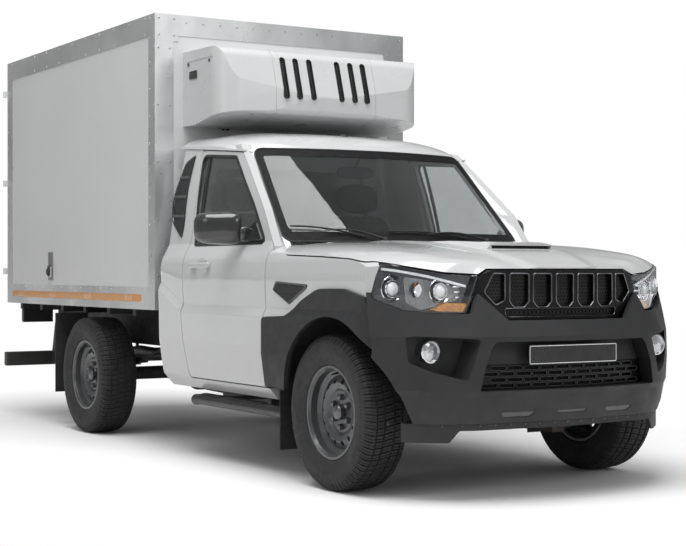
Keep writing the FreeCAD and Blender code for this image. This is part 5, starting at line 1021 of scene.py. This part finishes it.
def make_unit_details():
    """Cooling unit: liners, fins and rods in the louvres, a side hatch with its vent and latches, and two pipes."""
    fins, vents, liners = [], [], []
    for _, side in SIDES:
        for x in (94.0, 185.0, 270.0):
            a, b = side * x - 19.0, side * x + 19.0
            line = slab(a, 2012.0, b, 2255.0, 18.5, 7.0)
            slim = moved_out(line, -0.4)
            liners.append(band(slim, moved_out(line, -2.4), on_unit(1.2), on_unit(24.0)))
            liners.append(plate(slim, on_unit(24.0), on_unit(25.6)))
            for z in np.arange(2024.0, 2246.0, 13.0):
                y = UNIT_FOOT_Y + (z - UNIT_FOOT_Z) * UNIT_RAKE
                fins.append(bar(a + 2.0, b - 2.0, y + 12.0, y + 20.0, z - 1.5, z + 1.5, 0.7))
            for dx in (-6.5, 6.5):
                stem = np.array([[side * x + dx, z] for z in (2020.0, 2133.0, 2248.0)])
                fins.append(rod_along(on_unit(13.0)(stem), 1.4, 6))
        line = slab(-141.0, 2137.0, -44.0, 2183.0, 4.0, 8.0)
        vents.append(plate(line, flat_x(side * UNIT_SIDE), flat_x(side * (UNIT_SIDE + 3.1))))
        for z in np.arange(2142.0, 2179.0, 6.0):
            vents.append(bar(*span(side, UNIT_SIDE + 2.5, UNIT_SIDE + 5.5), -136.0, -49.0, z, z + 2.6, 0.8))
        for y, z in ((-30.0, 2225.0), (-300.0, 2222.0)):
            vents.append(turned(((0.0, 0.0), (0.0, 10.0), (3.0, 9.0), (4.0, 0.0)), (side * (UNIT_SIDE + 0.5), y, z),
                                "x", 16, side))
    put("unit_fins", fins, "satin_insert")
    put("unit_liners", liners, "black_rubber")
    put("unit_hatch_vents", vents, "satin_insert")
    route = even(rounded(((40.0, 1872.0), (26.0, 1860.0, 8.0), (26.0, 1400.0, 8.0))), 40.0, False)
    hoses = [rod_along(flat_x(x)(route), 11.0, 10, False, (1.0, 0.0, 0.0)) for x in (-420.0, -390.0)]
    put("unit_pipes", hoses, "black_rubber")


def make_rear_details():
    """Rear doors: gaskets, lock handles and cams, hinge rivets; the windows of the rear lamps."""
    for label, side in SIDES:
        body = "rear_door_" + label
        line = slab(8.0, 901.0, 800.0, 2431.0, 10.0, 30.0) * (side, 1.0)
        gasket = bead(line, flat_y(REAR_FACE + 0.5), 4.5, 8, (0.0, 1.0, 0.0))
        put("door_gasket_" + label, gasket, "black_rubber", body)
        handle = np.array([[270.0, 2598.0, 1400.0], [262.0, 2612.0, 1398.0], [200.0, 2618.0, 1392.0],
                           [60.0, 2618.0, 1390.0]]) * (side, 1.0, 1.0)
        gear = [rod_along(handle, (9.0, 9.0, 8.0, 7.0), 10),
                bar(*span(side, 40.0, 110.0), REAR_FACE, REAR_FACE + 24.0, 1376.0, 1404.0, 4.0)]
        for z in (915.0, 2418.0):
            gear.append(bar(*span(side, 252.0, 288.0), REAR_FACE, REAR_FACE + 22.0, z - 16.0, z + 16.0, 4.0))
        put("lock_gear_" + label, gear, "zinc", body)
        rivet = turned(((0.0, 0.0), (0.0, 7.0), (2.0, 6.0), (3.2, 0.0)), (0, 0, 0), "y", 10, 1)
        spots = np.array([(side * x, z + dz) for z in (1030.0, 1660.0, 2300.0) for x in (720.0, 780.0)
                          for dz in (-12.0, 12.0)])
        put("hinge_rivets_" + label, copies(rivet, flat_y(REAR_FACE + 5.0)(spots)), "zinc", body)
    red, amber = [], []
    for _, side in SIDES:
        for x0, x1, group in ((536.0, 600.0, red), (604.0, 676.0, amber), (680.0, 744.0, red)):
            line = slab(x0, 672.0, x1, 780.0, 6.0, 8.0) * (side, 1.0)
            group.append(plate(line, flat_y(2600.0), flat_y(2606.0)))
    put("rear_lenses", red, "red_lens")
    put("rear_turn_lenses", amber, "amber_lens")


def make_steps():
    """Ribbed rubber pads on the side steps: a plate with rows of small round ribs."""
    shapes = []
    for _, side in SIDES:
        for y0, y1 in ((-1180.0, -760.0), (-700.0, -480.0)):
            shapes.append(bar(*span(side, 782.0, 818.0), y0, y1, 351.0, 358.0, 3.0))
            rib = bar(*span(side, 784.0, 816.0), -3.0, 3.0, 357.0, 360.5, 1.2)
            shapes.append(copies(rib, [(0.0, y, 0.0) for y in np.arange(y0 + 14.0, y1 - 8.0, 14.0)]))
    put("step_pads", shapes, "black_rubber")


def make_inlet():
    """Mains inlet on the right side: its plate, and a hinged flap with a rim, a finger tab and a round cap."""
    line = slab(1692.0, 1000.0, 1740.0, 1056.0, 6.0, 6.0)
    lid = band(line, moved_out(line, -6.0), flat_x(-874.0), flat_x(-877.0))
    tab = bar(-880.0, -873.0, 1708.0, 1724.0, 994.0, 1002.0, 2.0)
    hinge = rod_along(np.array([[-873.0, y, 1062.0] for y in (1690.0, 1716.0, 1742.0)]), 4.0, 10)
    cap = turned(((-4.0, 0.0), (-4.0, 24.0), (10.0, 24.0), (14.0, 20.0), (15.0, 12.0), (15.0, 0.0)),
                 (-873.0, 1716.0, 1026.0), "x", 28, -1)
    put("inlet_lid", [lid, tab, hinge, cap], "black_rubber")
    put("inlet_plate", bar(-863.4, -860.2, 1675.0, 1757.0, 971.0, 1157.0, 1.0), "dull_plate")


def read_points(mesh):
    """The mesh's points as rows of three."""
    points = np.empty(len(mesh.vertices) * 3)
    mesh.vertices.foreach_get("co", points)
    return points.reshape(-1, 3)


def swell(piece):
    """Even faces by voxels, then cloth under pressure; each point's move is cut to the cap and laid on the mesh."""
    bpy.context.view_layer.objects.active = piece
    piece.select_set(True)
    mesher = piece.modifiers.new("even_faces", "REMESH")
    mesher.mode = "VOXEL"
    mesher.voxel_size = 0.008
    bpy.ops.object.modifier_apply(modifier=mesher.name)
    before = read_points(piece.data)
    cloth = piece.modifiers.new("swell", "CLOTH")
    cloth.settings.use_pressure = True
    cloth.settings.uniform_pressure_force = 4.0
    cloth.settings.effector_weights.gravity = 0.0
    cloth.settings.quality = 4
    cloth.point_cache.frame_end = 20
    for step in range(1, 13):
        bpy.context.scene.frame_set(step)
    move = read_points(piece.evaluated_get(bpy.context.evaluated_depsgraph_get()).data) - before
    piece.modifiers.remove(cloth)
    bpy.context.scene.frame_set(1)
    move *= np.minimum(1.0, SWELL_CAP / np.maximum(np.linalg.norm(move, axis=1, keepdims=True), 1e-9))
    piece.data.vertices.foreach_set("co", (before + move).ravel())
    piece.data.polygons.foreach_set("use_smooth", np.ones(len(piece.data.polygons), bool))


def pad(name, middle, half, power, fill, groove, wedge):
    """Crowned closed form: half size times signed powers of cosines and sines over the sphere's two angles. A sewn
    channel is a bell curve across its line, pressed into one face."""
    u, v = globe(64, 33)
    ring = signed_power(np.cos(v), power)
    points = np.stack((ring * signed_power(np.cos(u), power), ring * signed_power(np.sin(u), power),
                       signed_power(np.sin(v), power)), -1).reshape(-1, 3) * half
    points[:, 1] += wedge * points[:, 2]
    piece = put(name, (points + middle, net(64, 33, True, False)), "seat_cloth", crease=80.0)
    swell(piece)
    if groove:
        along, face, lines, deep = groove
        spots = read_points(piece.data)
        centre = np.array(middle) * MM
        reach = (spots[:, face] - centre[face]) / (half[face] * MM) * np.sign(deep)
        apart = np.min(np.abs((spots[:, along] - centre[along])[:, None] - np.array(lines) * MM), 1)
        spots[:, face] -= deep * MM * np.exp(-(apart / 0.006) ** 2) * (reach > 0.4)
        piece.data.vertices.foreach_set("co", spots.ravel())
        piece.data.update()
    return piece


def twin(piece, name, shift):
    """The same pad for the other seat, its points moved across."""
    mesh = piece.data.copy()
    mesh.vertices.foreach_set("co", (read_points(mesh) + (shift * MM, 0.0, 0.0)).ravel())
    other = bpy.data.objects.new(name, mesh)
    bpy.context.scene.collection.objects.link(other)
    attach(other, "truck")


def make_seats():
    """Seat pads swollen as cloth with sewn channels pressed in, and the seat frames below."""
    pads = (("cushion", (390.0, -565.0, 742.0), (205.0, 235.0, 52.0), 0.42, 0.7, (0, 2, (-105.0, 105.0), 7.0), 0.0),
            ("backrest", (390.0, -222.0, 1062.0), (222.0, 54.0, 310.0), 0.42, 0.7, (0, 1, (-115.0, 115.0), -7.0),
             0.155),
            ("headrest", (390.0, -158.0, 1468.0), (138.0, 48.0, 84.0), 0.5, 0.8, None, 0.1))
    made = [pad(part + "_left", *row) for part, *row in pads]
    for piece, (part, _, _, _, fill, _, _) in zip(made, pads):
        twin(piece, part + "_right", -780.0)
    frames = []
    for x in (390.0, -390.0):
        frames.append(bar(x - 180.0, x + 180.0, -760.0, -330.0, 566.0, 690.0, 12.0))
        for dx in (-196.0, 196.0):
            frames.append(bar(x + dx - 10.0, x + dx + 10.0, -790.0, -250.0, 560.4, 590.0, 5.0))
            frames.append(bar(x + dx - 8.0, x + dx + 8.0, -330.0, -205.0, 600.0, 800.0, 6.0))
        for dx in (-60.0, 60.0):
            post = np.array([[x + dx, -170.0, 1390.0], [x + dx, -160.0, 1440.0], [x + dx, -152.0, 1500.0]])
            frames.append(rod_along(post, 6.0, 8))
    stand = put("seat_frames", frames, "cabin_plastic")
    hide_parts("seats")


def make_stage(look):
    """Pale round floor that fades to the white background, soft lamps and the camera at the photograph's view."""
    rings = np.array([0.0, 2.0, 4.0, 7.0, 11.0, 18.0, 30.0, 60.0]) / MM
    t = np.linspace(0.0, 2.0 * np.pi, 64, endpoint=False)[:, None]
    points = np.stack((np.cos(t) * rings, np.sin(t) * rings, np.full((64, len(rings)), -0.5)), -1)
    ground, tree, surface, place = shader("studio_floor", (0.86, 0.86, 0.86), 0.7)
    path = tree.nodes.new("ShaderNodeLightPath")
    pale = blend(tree, between(tree, noise(tree, place, 3.0), 0.3, 0.7), (0.96, 0.96, 0.96), (0.94, 0.94, 0.94))
    tree.links.new(blend(tree, path.outputs["Is Diffuse Ray"], pale, (0.55, 0.55, 0.55)),
                   surface.inputs["Base Color"])
    far = tree.nodes.new("ShaderNodeVectorMath")
    far.operation = "LENGTH"
    tree.links.new(mapped(tree, place, (1.0, 0.6, 0.0)), far.inputs[0])
    glow = tree.nodes.new("ShaderNodeEmission")
    glow.inputs["Strength"].default_value = 1.0
    seen = maths(tree, "MAXIMUM", path.outputs["Is Camera Ray"],
                 maths(tree, "MAXIMUM", path.outputs["Is Glossy Ray"], path.outputs["Is Transmission Ray"]))
    fade = maths(tree, "MULTIPLY", between(tree, far.outputs["Value"], 1.6, 2.8), seen)
    mixer = tree.nodes.new("ShaderNodeMixShader")
    tree.links.new(fade, mixer.inputs[0])
    tree.links.new(surface.outputs[0], mixer.inputs[1])
    tree.links.new(glow.outputs[0], mixer.inputs[2])
    tree.links.new(mixer.outputs[0], tree.nodes["Material Output"].inputs["Surface"])
    SHELF["studio_floor"] = ground
    put("floor", (points.reshape(-1, 3), net(64, len(rings), True, False)), "studio_floor", None)
    scene = bpy.context.scene
    world = bpy.data.worlds.new("studio")
    scene.world = world
    world.use_nodes = True
    tree = world.node_tree
    sky = tree.nodes["Background"]
    path = tree.nodes.new("ShaderNodeLightPath")
    seen = maths(tree, "MAXIMUM", path.outputs["Is Camera Ray"], path.outputs["Is Transmission Ray"])
    bounce = maths(tree, "MULTIPLY", path.outputs["Is Glossy Ray"], look.reflection)
    strength = maths(tree, "ADD", maths(tree, "MULTIPLY", seen, 1.0 - look.world_light),
                     maths(tree, "ADD", look.world_light, bounce))
    tree.links.new(strength, sky.inputs["Strength"])
    sky.inputs["Color"].default_value = (1.0, 1.0, 1.0, 1.0)
    for name, spot, aim, size, power in (
            ("key", (-1.9, -2.2, 8.3), (0.0, 0.0, 0.0), 6.4, look.key_light),
            ("side", (-7.5, -3.0, 4.2), (0.0, -0.8, 1.0), 3.0, look.key_light * 0.06),
            ("front", (2.0, -9.0, 4.5), (0.0, -1.5, 0.9), 3.0, look.key_light * 0.12)):
        lamp = bpy.data.lights.new(name, "AREA")
        lamp.energy = power
        lamp.size = size
        thing = bpy.data.objects.new(name, lamp)
        thing.location = spot
        direction = np.array(spot) - np.array(aim)
        thing.rotation_euler = (math.atan2(math.hypot(direction[0], direction[1]), direction[2]), 0.0,
                                math.atan2(direction[1], direction[0]) + math.pi / 2)
        scene.collection.objects.link(thing)
    camera = bpy.data.objects.new("camera", bpy.data.cameras.new("camera"))
    camera.data.lens = 79.47
    camera.data.sensor_width = 36.0
    camera.location = (-4.502, -7.980, 1.031)
    camera.rotation_euler = (math.radians(90.0 - 0.075), 0.0, math.radians(-31.51))
    camera.data.dof.use_dof = False
    camera.data.clip_end = 200.0
    scene.collection.objects.link(camera)
    scene.camera = camera
    scene.view_settings.view_transform = "Standard"


def colour_nodes(look):
    """Makes the finishes and gives each CAD node its own."""
    make_finishes(look)
    for key, names in NODE_FINISH.items():
        for name in names:
            thing = NODES[name]
            thing.data.materials.clear()
            thing.data.materials.append(SHELF[key])


class TruckLook(bpy.types.PropertyGroup):
    """Sizes and colours that a user may change before the pieces are made."""
    paint: FloatVectorProperty(name="Cab paint", description="White body colour of the cab", subtype="COLOR",
                               default=(0.58, 0.585, 0.59), min=0.0, max=1.0)
    panel: FloatVectorProperty(name="Box panel", description="Laminate skin of the insulated box", subtype="COLOR",
                               default=(0.68, 0.685, 0.69), min=0.0, max=1.0)
    plastic: FloatVectorProperty(name="Grained plastic", description="Bumper, flares and vents", subtype="COLOR",
                                 default=(0.019, 0.0195, 0.021), min=0.0, max=1.0)
    amber: FloatVectorProperty(name="Turn lamp", description="Amber lens colour", subtype="COLOR",
                               default=(0.85, 0.36, 0.06), min=0.0, max=1.0)
    tape: FloatVectorProperty(name="Reflective tape", description="Tape on the bottom rails", subtype="COLOR",
                              default=(0.72, 0.30, 0.04), min=0.0, max=1.0)
    cloth: FloatVectorProperty(name="Seat cloth", description="Woven seat cover", subtype="COLOR",
                               default=(0.020, 0.0205, 0.022), min=0.0, max=1.0)
    tread: FloatProperty(name="Tread depth", description="Depth of the main tyre grooves", unit="LENGTH",
                         default=0.008)
    comb: FloatProperty(name="Comb pitch", description="Cell size of the grille honeycomb", unit="LENGTH",
                        default=0.018)
    rivet_pitch: FloatProperty(name="Rivet pitch", description="Distance between rivets on the rails", unit="LENGTH",
                               default=0.105)
    world_light: FloatProperty(name="World light", description="Even light from all round", default=0.40)
    reflection: FloatProperty(name="Reflected world", description="Extra strength that glossy surfaces see",
                              default=-0.12)
    key_light: FloatProperty(name="Key light", description="Main soft lamp", unit="POWER", default=730.0)


class TRUCK_OT_stage(bpy.types.Operator):
    """Floor, lamps and camera"""
    bl_idname = "truck.stage"
    bl_label = "Stage"

    def execute(self, context):
        make_stage(context.scene.truck_look)
        return {"FINISHED"}


class TRUCK_OT_finishes(bpy.types.Operator):
    """Materials of all CAD nodes"""
    bl_idname = "truck.finishes"
    bl_label = "Finishes"

    def execute(self, context):
        colour_nodes(context.scene.truck_look)
        return {"FINISHED"}


class TRUCK_OT_tyres(bpy.types.Operator):
    """Tyres with tread blocks and sidewalls"""
    bl_idname = "truck.tyres"
    bl_label = "Tyres"

    def execute(self, context):
        make_tyres(context.scene.truck_look)
        return {"FINISHED"}


class TRUCK_OT_wheels(bpy.types.Operator):
    """Nuts, caps and valves"""
    bl_idname = "truck.wheels"
    bl_label = "Wheel details"

    def execute(self, context):
        make_wheel_details()
        return {"FINISHED"}


class TRUCK_OT_headlamps(bpy.types.Operator):
    """Housings, reflectors and lenses"""
    bl_idname = "truck.headlamps"
    bl_label = "Headlamps"

    def execute(self, context):
        make_headlamps()
        return {"FINISHED"}


class TRUCK_OT_grille(bpy.types.Operator):
    """Slot frames and honeycomb"""
    bl_idname = "truck.grille"
    bl_label = "Grille"

    def execute(self, context):
        make_grille(context.scene.truck_look)
        return {"FINISHED"}


class TRUCK_OT_bumper(bpy.types.Operator):
    """Fog lamps, plate, inserts and bolts"""
    bl_idname = "truck.bumper"
    bl_label = "Bumper details"

    def execute(self, context):
        make_bumper_details()
        return {"FINISHED"}


class TRUCK_OT_bonnet(bpy.types.Operator):
    """Scoop mesh"""
    bl_idname = "truck.bonnet"
    bl_label = "Bonnet details"

    def execute(self, context):
        make_bonnet_details()
        return {"FINISHED"}


class TRUCK_OT_screen(bpy.types.Operator):
    """Border, seal, wipers, mirror and aerial"""
    bl_idname = "truck.screen"
    bl_label = "Windscreen"

    def execute(self, context):
        make_screen_details()
        return {"FINISHED"}


class TRUCK_OT_doors(bpy.types.Operator):
    """Seals, locks, trims and mirror glass"""
    bl_idname = "truck.doors"
    bl_label = "Door details"

    def execute(self, context):
        make_door_details()
        return {"FINISHED"}


class TRUCK_OT_mirrors(bpy.types.Operator):
    """Mirror heads, arms and feet"""
    bl_idname = "truck.mirrors"
    bl_label = "Mirrors"

    def execute(self, context):
        make_mirrors()
        return {"FINISHED"}


class TRUCK_OT_vents(bpy.types.Operator):
    """Vent frames, bars and studs"""
    bl_idname = "truck.vents"
    bl_label = "Side vents"

    def execute(self, context):
        make_vents()
        return {"FINISHED"}


class TRUCK_OT_rivets(bpy.types.Operator):
    """Rivets along the sheet trims"""
    bl_idname = "truck.rivets"
    bl_label = "Box rivets"

    def execute(self, context):
        make_rivets(context.scene.truck_look)
        return {"FINISHED"}


class TRUCK_OT_tape(bpy.types.Operator):
    """Tape and side reflectors"""
    bl_idname = "truck.tape"
    bl_label = "Reflective tape"

    def execute(self, context):
        make_tape()
        return {"FINISHED"}


class TRUCK_OT_unit(bpy.types.Operator):
    """Fins, liners, hatch vents and pipes"""
    bl_idname = "truck.unit"
    bl_label = "Cooling unit"

    def execute(self, context):
        make_unit_details()
        return {"FINISHED"}


class TRUCK_OT_rear(bpy.types.Operator):
    """Gaskets, lock gear and lamps"""
    bl_idname = "truck.rear"
    bl_label = "Rear details"

    def execute(self, context):
        make_rear_details()
        return {"FINISHED"}


class TRUCK_OT_steps(bpy.types.Operator):
    """Ribbed pads"""
    bl_idname = "truck.steps"
    bl_label = "Side steps"

    def execute(self, context):
        make_steps()
        return {"FINISHED"}


class TRUCK_OT_inlet(bpy.types.Operator):
    """Inlet plate and lid"""
    bl_idname = "truck.inlet"
    bl_label = "Mains inlet"

    def execute(self, context):
        make_inlet()
        return {"FINISHED"}


class TRUCK_OT_seats(bpy.types.Operator):
    """Padded seats and their frames"""
    bl_idname = "truck.seats"
    bl_label = "Seats"

    def execute(self, context):
        make_seats()
        return {"FINISHED"}


OPERATORS = (TRUCK_OT_stage, TRUCK_OT_finishes, TRUCK_OT_tyres, TRUCK_OT_wheels, TRUCK_OT_headlamps,
             TRUCK_OT_grille, TRUCK_OT_bumper, TRUCK_OT_bonnet, TRUCK_OT_screen, TRUCK_OT_doors, TRUCK_OT_mirrors,
             TRUCK_OT_vents, TRUCK_OT_rivets, TRUCK_OT_tape, TRUCK_OT_unit, TRUCK_OT_rear, TRUCK_OT_steps,
             TRUCK_OT_inlet, TRUCK_OT_seats)


class TRUCK_PT_panel(bpy.types.Panel):
    """Lists the makers of the truck's pieces."""
    bl_label = "Refrigerated truck"
    bl_idname = "TRUCK_PT_panel"
    bl_space_type = "VIEW_3D"
    bl_region_type = "UI"
    bl_category = "Truck"

    def draw(self, context):
        look = context.scene.truck_look
        for key in TruckLook.__annotations__:
            self.layout.prop(look, key)
        for kind in OPERATORS:
            self.layout.operator(kind.bl_idname)


CLASSES = (TruckLook,) + OPERATORS + (TRUCK_PT_panel,)


def register():
    """Adds the classes and the look to Blender."""
    for kind in CLASSES:
        bpy.utils.register_class(kind)
    bpy.types.Scene.truck_look = PointerProperty(type=TruckLook)


def unregister():
    """Takes them away again."""
    del bpy.types.Scene.truck_look
    for kind in reversed(CLASSES):
        bpy.utils.unregister_class(kind)


def main():
    """Makes every piece in order."""
    register()
    for kind in OPERATORS:
        group, key = kind.bl_idname.split(".")
        getattr(getattr(bpy.ops, group), key)()


if __name__ == "__main__":
    main()
